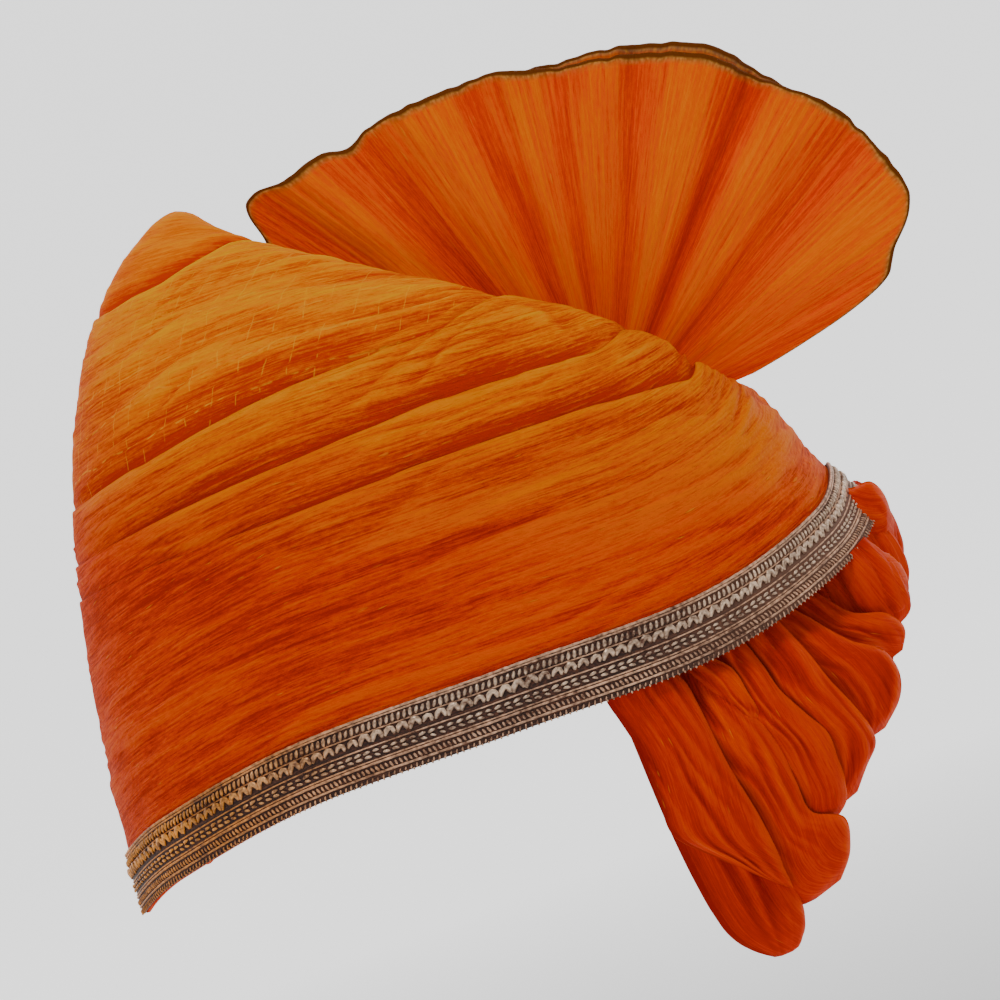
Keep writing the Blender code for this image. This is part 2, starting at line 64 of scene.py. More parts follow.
# Wall, as shares of the rim and the crown: the same stations as the frame's own wall
STATION_STEP = 30
STATION_COLUMNS = ("rim_up", "lip_along", "lip_across", "lip_up", "far_drop", "foot_lean", "lip_lean",
                   "top_sink", "valley_up")
STATIONS = (
    (-0.105, -0.180, 0.000, 1.000, 0.000, 3, 74, 0.060, 0.925),
    (-0.054, -0.134, 0.087, 0.934, 0.020, 3, 69, 0.085, 0.866),
    (-0.004, -0.024, 0.175, 0.827, 0.035, 2, 62, 0.125, 0.755),
    (0.000, 0.119, 0.223, 0.702, 0.040, 3, 55, 0.148, 0.525),
    (0.000, 0.263, 0.214, 0.577, 0.060, 5, 52, 0.136, 0.410),
    (0.060, 0.350, 0.126, 0.448, 0.075, 22, 38, 0.110, 0.316),
    (0.128, 0.380, 0.000, 0.400, 0.000, 40, 24, 0.090, 0.290),
)
FOOT_REACH = 0.35
LIP_REACH = 0.265
WALL_STEPS = 160
ROLL_STEPS = 48
LIP_ROLL = 0.008
ROLL_TURN = math.radians(150)
ROLL_SPARE = 0.0015

# Wraps from the rim up: upper edge at every station as shares of the crown's height, roundness in metres,
# rows across, the turns between which its edge begins to stand free on each side, and the turns between
# which it lies down again, to a share.
WRAP_COLUMNS = ("name", "edge_up", "swell", "rows", "edge_from", "edge_full", "flat_from", "flat_full",
                "flat")
WRAPS = (
    ("lower_wrap", (0.429, 0.446, 0.452, 0.457, 0.446, 0.429, 0.440), 0.0, 104, 44, 72, 140, 160, 0.6),
    ("roll_wrap", (0.486, 0.509, 0.534, 0.548, 0.531, 0.520, 0.520), 0.0013, 46, 20, 44, 98, 122, 0.35),
    ("middle_wrap", (0.577, 0.611, 0.651, 0.656, 0.645, 0.640, 0.640), 0.0015, 52, 2, 26, 62, 92, 0.0),
    ("upper_wrap", (0.872, 0.895, 0.906, 0.906, 0.900, 0.900, 0.900), 0.0008, 88, -10, 20, 170, 180, 1.0),
    ("peak_flap", (1.100, 1.100, 1.100, 1.100, 1.100, 1.100, 1.100), 0.0, 40, 0, 0, 170, 180, 1.0),
)
WRAP_NODES = ("wrap_lower", "wrap_roll", "wrap_middle", "wrap_upper", "wrap_peak")
WRAP_SLOTS = ("lower_cloth", "roll_cloth", "middle_cloth", "upper_cloth", "peak_cloth")
WRAP_SPREADS = (0.085, 0.019, 0.025, 0.046, 0.030)
SWELL_SKEW = 1.5
WRAP_RISE = 0.0075
FLAT_RISE = 0.0030
TUCK = 0.008
UNDER_GAP = 0.0006
FLAT_GAP = 0.0003
FEATHER = 0.009
FEATHER_SHARE = 0.72
LAYER_GAP = 0.0005
EDGE_BLEND = 0.020
END_SHOWN = 0.0012
HOLLOW_HALF_WIDTH = 0.076
HOLLOW_HALF_LENGTH = 0.098
INNER_ROWS = 14
TURN_FINE = 0.8

# Folds that stand out of a wrap: share of its shown width where the fold starts and ends, the turns
# between which it stands, and its depth in metres.
FOLD_COLUMNS = ("wrap", "share_first", "share_last", "first_turn", "last_turn", "depth")
FOLDS = (
    (0, 0.88, 0.86, 66, 172, 0.0007),
    (0, 0.77, 0.79, 58, 176, 0.0010),
    (0, 0.62, 0.70, 66, 170, 0.0015),
    (0, 0.54, 0.60, 76, 186, 0.0016),
    (0, 0.46, 0.50, 84, 190, 0.0013),
    (0, 0.42, 0.33, 52, 184, 0.0011),
    (0, 0.31, 0.27, 20, 176, 0.0009),
    (0, 0.60, 0.52, -8, 64, 0.0007),
    (0, 0.44, 0.40, -30, 60, 0.0006),
    (0, 0.72, 0.64, -170, -60, 0.0014),
    (0, 0.52, 0.50, -186, -50, 0.0015),
    (0, 0.38, 0.34, -160, -20, 0.0010),
    (1, 0.60, 0.52, 50, 150, 0.0006),
    (2, 0.58, 0.50, 20, 128, 0.0008),
    (2, 0.34, 0.30, -20, 120, 0.0006),
    (3, 0.30, 0.36, 14, 66, 0.0018),
    (3, 0.62, 0.50, 4, 76, 0.0009),
    (3, 0.46, 0.66, 40, 98, 0.0008),
    (3, 0.34, 0.44, -96, -12, 0.0015),
)
FOLD_LOW_SPREAD = 0.075
FOLD_HIGH_SPREAD = 0.022
FOLD_FADE = 26

# Wrinkles: cells round the wall and in 100 mm across a wrap, height in metres, and the seed.
WRINKLE_COLUMNS = ("around", "across", "height", "seed")
WRINKLES = (
    (18, 9, 0.00030, 11),
    (60, 40, 0.00012, 13),
    (150, 60, 0.00009, 14),
)
# Lengthwise ridges of crinkled cloth: pitch across the wrap, height, wander in pitches, and the seed.
RIDGE_COLUMNS = ("pitch", "height", "wander", "seed")
RIDGES = (
    (0.0094, 0.00110, 1.3, 21),
    (0.0040, 0.00050, 1.6, 22),
)
RIDGE_CREST = 0.80

# Lace band from its upper edge down: kind, share of the band's width, spacing, scale and tilt
LACE_OUT = 0.0004
LACE_BASE = 0.0007
CORD_SHARES = (0.985, 0.940, 0.765, 0.535, 0.320, 0.275, 0.115)
CORD_RADII = (0.00042, 0.00030, 0.00022, 0.00022, 0.00024, 0.00036, 0.00034)
ROW_COLUMNS = ("kind", "share", "spacing", "scale", "tilt", "seed")
LACE_ROWS = (
    ("bar", 0.846, 0.00185, 0.00235, -24, 31),
    ("hook", 0.652, 0.00395, 0.00400, -22, 32),
    ("dash", 0.462, 0.00290, 0.00210, 8, 33),
    ("dash", 0.392, 0.00290, 0.00200, -10, 34),
    ("bar", 0.185, 0.00150, 0.00165, 22, 35),
    ("bar", 0.040, 0.00175, 0.00120, -22, 36),
    ("nub", 0.000, 0.00190, 0.00075, 0, 37),
)

# Fan's edge: angle above the horizontal in degrees, and the reach there as a share of the fan's reach
FAN_EDGE = (
    (2.8, 0.40), (5.1, 0.55), (6.5, 0.66), (8.1, 0.765), (13.6, 0.885), (15.8, 0.943), (18.6, 0.985),
    (21, 1.000), (26.5, 1.010), (33, 1.022), (37, 1.018), (44.5, 1.000), (50, 1.000), (56, 1.005),
    (62, 0.992), (66, 0.985), (72, 0.965), (78, 0.953), (83, 0.963), (88, 0.979), (95, 0.981), (103, 0.995),
    (108, 1.008), (113.6, 1.008), (115.2, 1.029), (122, 1.062), (129.3, 1.081), (130.4, 1.036), (132, 1.00),
)
BACK_EDGE = ((8, -0.10), (30, -0.06), (40, -0.015), (48, 0.018), (56, 0.028), (64, 0.026), (70, 0.024),
             (80, 0.010), (90, -0.02), (104, -0.04), (126, -0.08))
# Fan's pleats: angle, and how far the cloth stands back from the front as a share of the pleat's depth
FAN_PLEATS = (
    (2, 0.5), (10, 0.2), (18, -0.3), (26, 0.3), (30.6, 1.1), (36, 0.1), (41, -0.6), (45, 0.3), (48.3, 1.9),
    (52, 0.5), (57, -0.5), (62, 0.3), (66, 1.0), (69, 0.3), (72.5, -0.1), (76, 0.3), (79.4, 1.0), (83, 0.1),
    (86, -0.3), (89, 0.4), (92.4, 1.2), (96, 0.2), (102, -0.5), (108, 0.5), (112, 1.2), (116, 0.4),
    (122, -0.3), (127, 0.6), (132, 0.9),
)

# Folds of the tail, each a line of sections from inside the rim to its tip: shares of the rim's length
# and width, of the tail's drop, and of the fold's width for its half width and half depth.
TAIL_COLUMNS = ("along", "across", "drop", "half_width", "half_depth")
TAIL_FOLDS = {
    "mid_fold": (
        (0.430, 0.194, -0.135, 0.38, 0.38), (0.448, 0.194, -0.020, 0.44, 0.43),
        (0.456, 0.175, 0.060, 0.36, 0.40), (0.456, 0.160, 0.130, 0.15, 0.20),
    ),
    "back_fold": (
        (0.456, 0.087, -0.215, 0.44, 0.34), (0.466, 0.087, -0.095, 0.54, 0.43),
        (0.466, 0.073, 0.015, 0.44, 0.38), (0.463, 0.063, 0.105, 0.17, 0.19),
    ),
    "tie_fold": (
        (0.482, -0.058, -0.329, 0.20, 0.12), (0.494, -0.068, -0.235, 0.38, 0.24),
        (0.484, -0.068, -0.119, 0.46, 0.38), (0.466, -0.063, -0.020, 0.41, 0.38),
        (0.455, -0.058, 0.064, 0.17, 0.24),
    ),
}
# Pleats along each fold of the tail: how many round it, their depth in metres and their twist in degrees
PLEAT_COLUMNS = ("count", "depth", "twist", "seed")
TAIL_PLEATS = {
    "mid_fold": (5, 0.0022, 90, 57), "back_fold": (6, 0.0022, 80, 58), "tie_fold": (5, 0.0014, 60, 59),
}
# Flat folds on the near side of the tail, each as rows from the rim to its tip: where its two edges are
# along the rim's length and down the tail's drop, and how far across the rim it hangs.
LEAF_COLUMNS = ("first_along", "first_drop", "last_along", "last_drop", "across")
TAIL_LEAVES = {
    "tongue": (
        (0.119, -0.011, 0.179, -0.012, 0.393),
        (0.122, 0.238, 0.184, 0.233, 0.398),
        (0.125, 0.426, 0.199, 0.432, 0.393),
        (0.128, 0.547, 0.216, 0.591, 0.388),
        (0.134, 0.695, 0.235, 0.738, 0.383),
        (0.141, 0.809, 0.243, 0.847, 0.379),
        (0.150, 0.894, 0.242, 0.914, 0.374),
        (0.165, 0.956, 0.232, 0.979, 0.369),
        (0.182, 0.998, 0.215, 1.018, 0.367),
        (0.192, 1.017, 0.201, 1.021, 0.364),
    ),
    "swath": (
        (0.111, -0.043, 0.186, -0.036, 0.417),
        (0.108, 0.009, 0.201, 0.035, 0.427),
        (0.115, 0.093, 0.207, 0.122, 0.432),
        (0.123, 0.189, 0.211, 0.227, 0.434),
        (0.126, 0.284, 0.218, 0.375, 0.432),
        (0.126, 0.390, 0.229, 0.527, 0.430),
        (0.129, 0.516, 0.235, 0.651, 0.425),
        (0.165, 0.625, 0.237, 0.735, 0.417),
        (0.197, 0.716, 0.239, 0.795, 0.408),
        (0.223, 0.787, 0.239, 0.814, 0.398),
    ),
    "strand": (
        (0.205, 0.009, 0.238, -0.012, 0.403),
        (0.216, 0.076, 0.259, 0.055, 0.410),
        (0.228, 0.156, 0.267, 0.148, 0.408),
        (0.239, 0.243, 0.271, 0.237, 0.398),
        (0.246, 0.289, 0.263, 0.283, 0.393),
    ),
    "long_fold": (
        (0.188, 0.008, 0.230, -0.001, 0.388),
        (0.187, 0.084, 0.238, 0.090, 0.398),
        (0.191, 0.182, 0.256, 0.194, 0.403),
        (0.195, 0.327, 0.274, 0.279, 0.400),
        (0.204, 0.426, 0.281, 0.358, 0.398),
        (0.214, 0.560, 0.285, 0.486, 0.393),
        (0.218, 0.682, 0.291, 0.599, 0.386),
        (0.221, 0.807, 0.325, 0.656, 0.379),
        (0.230, 0.863, 0.323, 0.726, 0.371),
        (0.246, 0.884, 0.311, 0.799, 0.367),
        (0.260, 0.881, 0.296, 0.848, 0.364),
    ),
    "side_fold": (
        (0.224, 0.014, 0.285, -0.002, 0.369),
        (0.241, 0.109, 0.296, 0.093, 0.379),
        (0.249, 0.201, 0.304, 0.181, 0.383),
        (0.255, 0.282, 0.323, 0.282, 0.383),
        (0.263, 0.357, 0.339, 0.363, 0.379),
        (0.270, 0.469, 0.341, 0.458, 0.371),
        (0.273, 0.560, 0.340, 0.546, 0.364),
        (0.270, 0.622, 0.331, 0.619, 0.359),
        (0.278, 0.652, 0.317, 0.652, 0.354),
    ),
    "outer_fold": (
        (0.268, 0.015, 0.334, -0.017, 0.340),
        (0.282, 0.117, 0.351, 0.099, 0.350),
        (0.290, 0.231, 0.365, 0.217, 0.352),
        (0.305, 0.325, 0.379, 0.309, 0.350),
        (0.319, 0.422, 0.391, 0.411, 0.340),
        (0.318, 0.529, 0.389, 0.474, 0.330),
        (0.313, 0.606, 0.370, 0.534, 0.325),
        (0.314, 0.636, 0.351, 0.599, 0.323),
    ),
    "rear_fold": (
        (0.294, 0.010, 0.360, -0.028, 0.291),
        (0.317, 0.122, 0.404, 0.116, 0.301),
        (0.336, 0.245, 0.439, 0.195, 0.301),
        (0.345, 0.341, 0.446, 0.289, 0.294),
        (0.350, 0.425, 0.434, 0.370, 0.286),
        (0.354, 0.476, 0.409, 0.437, 0.282),
    ),
    "nape_fold": (
        (0.343, -0.019, 0.387, -0.067, 0.238),
        (0.364, 0.074, 0.419, 0.037, 0.248),
        (0.392, 0.153, 0.461, 0.088, 0.243),
        (0.425, 0.198, 0.472, 0.165, 0.233),
        (0.447, 0.233, 0.462, 0.219, 0.228),
    ),
    "knot_fold": (
        (0.367, -0.037, 0.427, -0.130, 0.184),
        (0.394, 0.044, 0.464, -0.128, 0.194),
        (0.428, 0.095, 0.493, -0.076, 0.189),
        (0.459, 0.113, 0.497, 0.030, 0.180),
        (0.474, 0.132, 0.486, 0.098, 0.175),
    ),
    "top_fold": (
        (0.436, -0.121, 0.475, -0.342, 0.087),
        (0.460, -0.074, 0.502, -0.337, 0.097),
        (0.481, -0.067, 0.512, -0.261, 0.087),
        (0.501, -0.108, 0.511, -0.181, 0.078),
    ),
}
# Flat folds on the far side: the near fold that each mirrors, and its length as a share of that one's
FAR_LEAVES = {
    "right_side_fold": ("outer_fold", 0.62), "right_rear_fold": ("rear_fold", 0.94),
    "right_back_fold": ("nape_fold", 1.45), "right_nape_fold": ("knot_fold", 1.30),
}
# Pleats of the flat folds: how many, their depth in metres, their slant along the fold, an offset of the
# fold's painted shade, seed
LEAF_PLEAT_COLUMNS = ("count", "depth", "slant", "tone", "seed")
LEAF_PLEATS = {
    "tongue": (2.4, 0.0005, 0.5, 0.16, 111), "swath": (3.6, 0.0013, -2.7, 0.0, 112),
    "strand": (2.0, 0.0008, 0.4, -0.22, 113), "long_fold": (2.6, 0.0012, -1.2, -0.06, 114),
    "side_fold": (2.2, 0.0012, 0.8, -0.03, 115), "outer_fold": (2.3, 0.0011, 1.0, 0.0, 116),
    "rear_fold": (1.8, 0.0010, -0.8, 0.0, 117), "nape_fold": (2.4, 0.0012, 1.2, -0.04, 118),
    "knot_fold": (4.2, 0.0014, 1.6, -0.04, 119), "top_fold": (3.4, 0.0010, 1.0, -0.12, 120),
}
# The gathered strip behind the rim: turn, and how far down the tail's drop it reaches there; turn, and how
# far inside the rim it hangs
GATHER_DROPS = ((110, 0.04), (114, 0.40), (121, 0.50), (130, 0.38), (142, 0.24), (156, 0.10),
                (168, -0.04), (180, -0.07), (192, -0.02), (203, 0.10), (214, 0.16), (225, 0.12), (234, 0.02),
                (241, -0.06))
GATHER_INSETS = ((110, 0.0245), (125, 0.0225), (145, 0.0205), (160, 0.014), (174, 0.0075), (241, 0.0065))
GATHER_PLEATS = 25
GATHER_DEPTH = 0.0042
GATHER_WALL = 0.0016
GATHER_LINES = 380
LEAF_DOME = 0.0075
LEAF_ROOT = 0.015
LEAF_LINES = 96
LEAF_FRONT = 52
LEAF_BACK = 20
FOLD_SIDES = 72
FOLD_LINES = 84
SWEEP_SIDES = 96


class TurbanSettings(bpy.types.PropertyGroup):
    rim_length: bpy.props.FloatProperty(
        name="Rim length", description="Rim from the brow to the nape", unit="LENGTH",
        default=RIM_HIGH[1] - RIM_LOW[1])
    rim_width: bpy.props.FloatProperty(
        name="Rim width", description="Rim from side to side", unit="LENGTH",
        default=RIM_HIGH[0] - RIM_LOW[0])
    crown_height: bpy.props.FloatProperty(
        name="Crown height", description="Peak above the rim's level", unit="LENGTH", default=0.176)
    cloth_wall: bpy.props.FloatProperty(
        name="Cloth wall", description="Thickness of a turn of doubled cloth", unit="LENGTH",
        default=0.0012)
    lace_width: bpy.props.FloatProperty(
        name="Lace width", description="Width of the lace band", unit="LENGTH", default=0.0185)
    fan_reach: bpy.props.FloatProperty(
        name="Fan reach", description="Fan's radius from its root", unit="LENGTH", default=0.116)
    fan_pleat: bpy.props.FloatProperty(
        name="Fan pleat", description="Depth of the fan's pleats at its edge", unit="LENGTH",
        default=0.0045)
    tail_drop: bpy.props.FloatProperty(
        name="Tail drop", description="Length of the tail's longest fold", unit="LENGTH", default=0.087)
    fold_width: bpy.props.FloatProperty(
        name="Fold width", description="Width of a fold of the tail", unit="LENGTH", default=0.024)
    # Cloth tones are lit and shaded copies of one orange: light is painted highlight on crests, deep is
    # painted shade in folds, high is painted light from above near the peak and low is painted shade lower
    # down.
    high_light: bpy.props.FloatVectorProperty(
        name="Light cloth, high", description="Crests of the cloth near the peak", subtype="COLOR",
        default=(1.0, 0.430, 0.0))
    high_mid: bpy.props.FloatVectorProperty(
        name="Cloth, high", description="Cloth near the peak", subtype="COLOR", default=(1.0, 0.250, 0.0))
    high_deep: bpy.props.FloatVectorProperty(
        name="Deep cloth, high", description="Folds near the peak", subtype="COLOR",
        default=(0.74, 0.042, 0.0))
    low_light: bpy.props.FloatVectorProperty(
        name="Light cloth, low", description="Crests of the cloth near the rim", subtype="COLOR",
        default=(0.88, 0.098, 0.0))
    low_mid: bpy.props.FloatVectorProperty(
        name="Cloth, low", description="Cloth near the rim", subtype="COLOR", default=(0.74, 0.038, 0.0))
    low_deep: bpy.props.FloatVectorProperty(
        name="Deep cloth, low", description="Folds near the rim", subtype="COLOR",
        default=(0.46, 0.012, 0.0))
    # Fan tones: light is painted highlight on the pleats' crests, deep is painted shade in the pleats.
    fan_light: bpy.props.FloatVectorProperty(
        name="Light fan", description="Crests of the fan's pleats", subtype="COLOR",
        default=(1.0, 0.190, 0.0))
    fan_mid: bpy.props.FloatVectorProperty(
        name="Fan", description="Fan's own colour", subtype="COLOR", default=(0.92, 0.070, 0.0))
    fan_deep: bpy.props.FloatVectorProperty(
        name="Deep fan", description="Fan in its pleats", subtype="COLOR", default=(0.62, 0.022, 0.0))
    # Tail tones: light is painted light where the tail catches it, deep is painted shade in its folds.
    tail_light: bpy.props.FloatVectorProperty(
        name="Light tail", description="Tail where it catches the light", subtype="COLOR",
        default=(0.86, 0.078, 0.0))
    tail_mid: bpy.props.FloatVectorProperty(
        name="Tail", description="Tail's own colour", subtype="COLOR", default=(0.63, 0.020, 0.0))
    tail_deep: bpy.props.FloatVectorProperty(
        name="Deep tail", description="Tail in its folds", subtype="COLOR", default=(0.35, 0.005, 0.0))
    thread_silver: bpy.props.FloatVectorProperty(
        name="Silver thread", description="Lace thread at the side", subtype="COLOR",
        default=(1.0, 0.72, 0.50))
    thread_gold: bpy.props.FloatVectorProperty(
        name="Gold thread", description="Lace thread at the brow", subtype="COLOR",
        default=(1.0, 0.38, 0.045))
    lace_ground: bpy.props.FloatVectorProperty(
        name="Lace ground", description="Dark net behind the lace", subtype="COLOR",
        default=(0.030, 0.008, 0.004))


def smooth(share):
    share = np.clip(share, 0.0, 1.0)
    return share * share * (3 - 2 * share)


def bend(before, first, last, after, share):
    """A value on a smooth curve through four even points, between the second and the third."""
    slope_in, slope_out = (last - before) / 2, (after - first) / 2
    rest = first - last
    return first + share * (slope_in + share * (-3 * rest - 2 * slope_in - slope_out
                                                + share * (2 * rest + slope_in + slope_out)))


def round_half(values, turn, side=1):
    """A station value at any turn; beyond the brow and the nape the row mirrors, or swaps sides."""
    place = abs(turn) / STATION_STEP
    first = min(int(place), len(values) - 2)
    before = values[first - 1] if first else side * values[1]
    after = values[first + 2] if first + 2 < len(values) else side * values[-2]
    return bend(before, values[first], values[first + 1], after, place - first)


def station(name, turn):
    place = STATION_COLUMNS.index(name)
    return round_half([row[place] for row in STATIONS], turn, -1 if name == "lip_across" else 1)


def through(rows, places):
    """Values at places on a smooth curve through (place, value) rows."""
    at = np.array([row[0] for row in rows], float)
    value = np.array([row[1] for row in rows], float)
    slope = np.gradient(value, at)
    places = np.clip(places, at[0], at[-1])
    low = np.clip(np.searchsorted(at, places) - 1, 0, len(at) - 2)
    width = at[low + 1] - at[low]
    share = (places - at[low]) / width
    rise = value[low + 1] - value[low]
    first, last = slope[low] * width, slope[low + 1] * width
    return value[low] + share * (first + share * (3 * rise - 2 * first - last
                                                  + share * (first + last - 2 * rise)))


def ripple(around, across, cells_around, cells_across, seed):
    """Smooth random heights from -1 to 1, which meet themselves round the wall."""
    lattice = np.random.default_rng(seed).uniform(-1, 1, (cells_around, 4 * cells_across))
    u, v = around * cells_around, across * cells_across + cells_across
    low_u, low_v = np.floor(u).astype(int), np.floor(v).astype(int)
    share_u, share_v = smooth(u - low_u), smooth(v - low_v)
    low_u, high_u = low_u % cells_around, (low_u + 1) % cells_around
    low_v = np.clip(low_v, 0, lattice.shape[1] - 2)
    near = lattice[low_u, low_v] * (1 - share_u) + lattice[high_u, low_v] * share_u
    far = lattice[low_u, low_v + 1] * (1 - share_u) + lattice[high_u, low_v + 1] * share_u
    return near * (1 - share_v) + far * share_v


class Wall:
    """The wound wall of the turban, from the rim up and over the rolled edge of its mouth."""

    def __init__(self, sizes):
        self.sizes = sizes
        self.length, self.width, self.height = sizes.rim_length, sizes.rim_width, sizes.crown_height
        self.paths = {}
        self.edges = {}

    def rim(self, turn):
        angle = math.radians(turn)
        return np.array((self.width / 2 * math.sin(angle), -self.length / 2 * math.cos(angle),
                         self.height * station("rim_up", turn)))

    def lip(self, turn):
        side = math.copysign(1, turn)
        drop = station("far_drop", turn) if turn < 0 else 0
        return np.array((side * self.width * station("lip_across", turn),
                         self.length * station("lip_along", turn),
                         self.height * (station("lip_up", turn) - drop)))

    def path(self, turn):
        """Points up the wall and over its rolled lip, their runs from the rim, and the run at the roll."""
        turn = round((turn + 180) % 360 - 180, 4)
        if turn not in self.paths:
            self.paths[turn] = self.make_path(turn)
        return self.paths[turn]

    def make_path(self, turn):
        up = np.array((0, 0, 1.0))
        rim, lip = self.rim(turn), self.lip(turn)
        inward = (lip - rim) * (1, 1, 0)
        inward /= np.linalg.norm(inward)
        foot, lean = math.radians(station("foot_lean", turn)), math.radians(station("lip_lean", turn))
        foot_way = inward * math.sin(foot) + up * math.cos(foot)
        lip_way = inward * math.sin(lean) + up * math.cos(lean)
        outward = up * math.sin(lean) - inward * math.cos(lean)
        top = lip - up * LIP_ROLL * (1 - math.sin(lean)) - inward * LIP_ROLL * math.cos(lean)
        chord = np.linalg.norm(top - rim)
        knots = (rim, rim + foot_way * chord * FOOT_REACH, top - lip_way * chord * LIP_REACH, top)
        share = np.linspace(0, 1, WALL_STEPS)[:, None]
        weights = ((1 - share) ** 3, 3 * share * (1 - share) ** 2, 3 * share ** 2 * (1 - share), share ** 3)
        wall = sum(weight * knot for weight, knot in zip(weights, knots))
        angle = ROLL_TURN * np.arange(1, ROLL_STEPS + 1)[:, None] / ROLL_STEPS
        roll = top + LIP_ROLL * (outward * (np.cos(angle) - 1) + lip_way * np.sin(angle))
        points = np.vstack((wall, roll))
        runs = np.concatenate(((0,), np.cumsum(np.linalg.norm(np.diff(points, axis=0), axis=1))))
        return points, runs, runs[WALL_STEPS - 1]

    def points(self, turns, runs):
        """Points at each turn's own runs, as lines by rows by three."""
        lines = []
        for turn, row in zip(turns, runs):
            points, path_runs, _ = self.path(turn)
            lines.append(np.stack([np.interp(row, path_runs, points[:, axis]) for axis in range(3)], -1))
        return np.array(lines)

    def off(self, turns, runs, outs):
        """Points that stand off the wall by outs, along its normal."""
        turns = np.asarray(turns, float)
        runs, step = np.asarray(runs, float), 0.0008
        round_way = self.points(turns + 1, runs) - self.points(turns - 1, runs)
        up_way = self.points(turns, runs + step) - self.points(turns, runs - step)
        normal = np.cross(round_way, up_way)
        normal /= np.maximum(np.linalg.norm(normal, axis=-1, keepdims=True), 1e-12)
        return self.points(turns, runs) + normal * np.asarray(outs)[..., None]

    def run_at_height(self, turn, height):
        points, runs, lip_run = self.path(turn)
        heights = np.maximum.accumulate(points[:WALL_STEPS, 2])
        return float(min(lip_run, np.interp(height, heights, runs[:WALL_STEPS])))

    def edge(self, index, turn):
        """Run to a wrap's upper edge, which goes on over the roll where the edge is above the lip."""
        key = (index, round((turn + 180) % 360 - 180, 4))
        if key not in self.edges:
            points, runs, _ = self.path(turn)
            lip_height = points[WALL_STEPS - 1, 2]
            edge_up = WRAPS[index][WRAP_COLUMNS.index("edge_up")]
            past = self.height * round_half(edge_up, key[1]) - lip_height
            free = self.run_at_height(key[1], min(0, past) + lip_height)
            end = runs[-1] - ROLL_SPARE
            self.edges[key] = free + (end - free) * float(smooth(past / EDGE_BLEND + 0.5))
        return self.edges[key]

    def shown(self, index, turn):
        return self.edge(index, turn) - (self.edge(index - 1, turn) if index else 0)

    def edge_stands(self, index, turn):
        """How far a wrap's upper edge stands free at a turn, from 0 where it lies flat to 1."""
        row = dict(zip(WRAP_COLUMNS, WRAPS[index]))
        side = abs((turn + 180) % 360 - 180)
        free = smooth((side - row["edge_from"]) / max(1, row["edge_full"] - row["edge_from"]))
        flat = smooth((side - row["flat_from"]) / (row["flat_full"] - row["flat_from"]))
        return float(free * (1 - (1 - row["flat"]) * flat))

    def thickness(self, index, turn, runs):
        """A wrap's wall, which thins towards its upper edge where that edge lies flat."""
        near = smooth((runs - self.edge(index, turn) + FEATHER) / FEATHER)
        return self.sizes.cloth_wall * (1 - FEATHER_SHARE * (1 - self.edge_stands(index, turn)) * near)

    def fold_height(self, index, turn, share):
        """Height of a wrap's own lengthwise folds at shares of its shown width."""
        height = np.zeros_like(share)
        for values in FOLDS:
            row = dict(zip(FOLD_COLUMNS, values))
            if row["wrap"] != index:
                continue
            for spot in (turn, turn - 360, turn + 360):
                span = row["last_turn"] - row["first_turn"]
                along = (spot - row["first_turn"]) / span
                if not 0 < along < 1:
                    continue
                fade = smooth((spot - row["first_turn"]) / FOLD_FADE)
                fade = fade * smooth((row["last_turn"] - spot) / FOLD_FADE)
                near = share - (row["share_first"] + (row["share_last"] - row["share_first"]) * along)
                wide = np.where(near > 0, FOLD_HIGH_SPREAD, FOLD_LOW_SPREAD)
                height += row["depth"] * fade * np.exp(-(near / wide) ** 2)
        return height

    def wrinkles(self, index, turn, share):
        width = max(self.shown(index, turn), 0.004)
        around = np.full_like(share, (turn % 360) / 360)
        across = share * width / 0.1
        drift = 0.03 * ripple(around, share * 0.3, 16, 4, 90 + index)
        height = np.zeros_like(share)
        for values in WRINKLES:
            row = dict(zip(WRINKLE_COLUMNS, values))
            height += row["height"] * ripple(around, across + drift, row["around"], row["across"],
                                             row["seed"] + 20 * index)
        for values in RIDGES:
            row = dict(zip(RIDGE_COLUMNS, values))
            seed = row["seed"] + 20 * index
            wander = row["wander"] * ripple(around, across, 15, 5, seed)
            phase = share * WRAP_SPREADS[index] / row["pitch"] + wander
            cycle = phase - np.floor(phase)
            rise = smooth(cycle / RIDGE_CREST) * smooth((1 - cycle) / (1 - RIDGE_CREST))
            strength = smooth(0.5 + 0.9 * ripple(around, across, 26, 12, seed + 300))
            height += row["height"] * (rise - 0.45) * strength * (0.4 + 0.6 * smooth((abs(turn) - 10) / 35))
        return height

    def out(self, index, turn, runs, detail=True):
        """How far a wrap's outer face stands off the wall at runs up one turn."""
        edge = self.edge(index, turn)
        if index == 0:
            share = runs / edge
            rise = smooth((runs - self.sizes.lace_width) / 0.010)
            out = self.fold_height(0, turn, share) * rise
            crest = 0.0012 * self.edge_stands(0, turn)
            out = out + crest * np.exp(-((edge - runs - 0.004) / 0.006) ** 2)
            if detail:
                out = out + self.wrinkles(0, turn, share) * rise
            return out
        row = dict(zip(WRAP_COLUMNS, WRAPS[index]))
        cover = self.edge(index - 1, turn)
        below = self.out(index - 1, turn, np.minimum(runs, cover), detail=False)
        stands = self.edge_stands(index - 1, turn)
        gap = FLAT_GAP + (UNDER_GAP - FLAT_GAP) * stands
        tucked = below - self.thickness(index - 1, turn, np.minimum(runs, cover)) - gap
        shown = np.maximum(0, runs - cover - LAYER_GAP)
        width = max(edge - cover, END_SHOWN)
        share = np.clip(shown / width, 0, 1)
        rise = min(FLAT_RISE + (WRAP_RISE - FLAT_RISE) * stands, max(width / 2, FLAT_RISE))
        swell = row["swell"] * np.sin(np.pi * share ** SWELL_SKEW) * smooth((width - 0.004) / 0.012)
        swell = swell * max(stands, self.edge_stands(index, turn))
        free = swell + self.fold_height(index, turn, share)
        if detail:
            free = free + self.wrinkles(index, turn, share)
        return tucked + (free - tucked) * smooth(shown / rise)

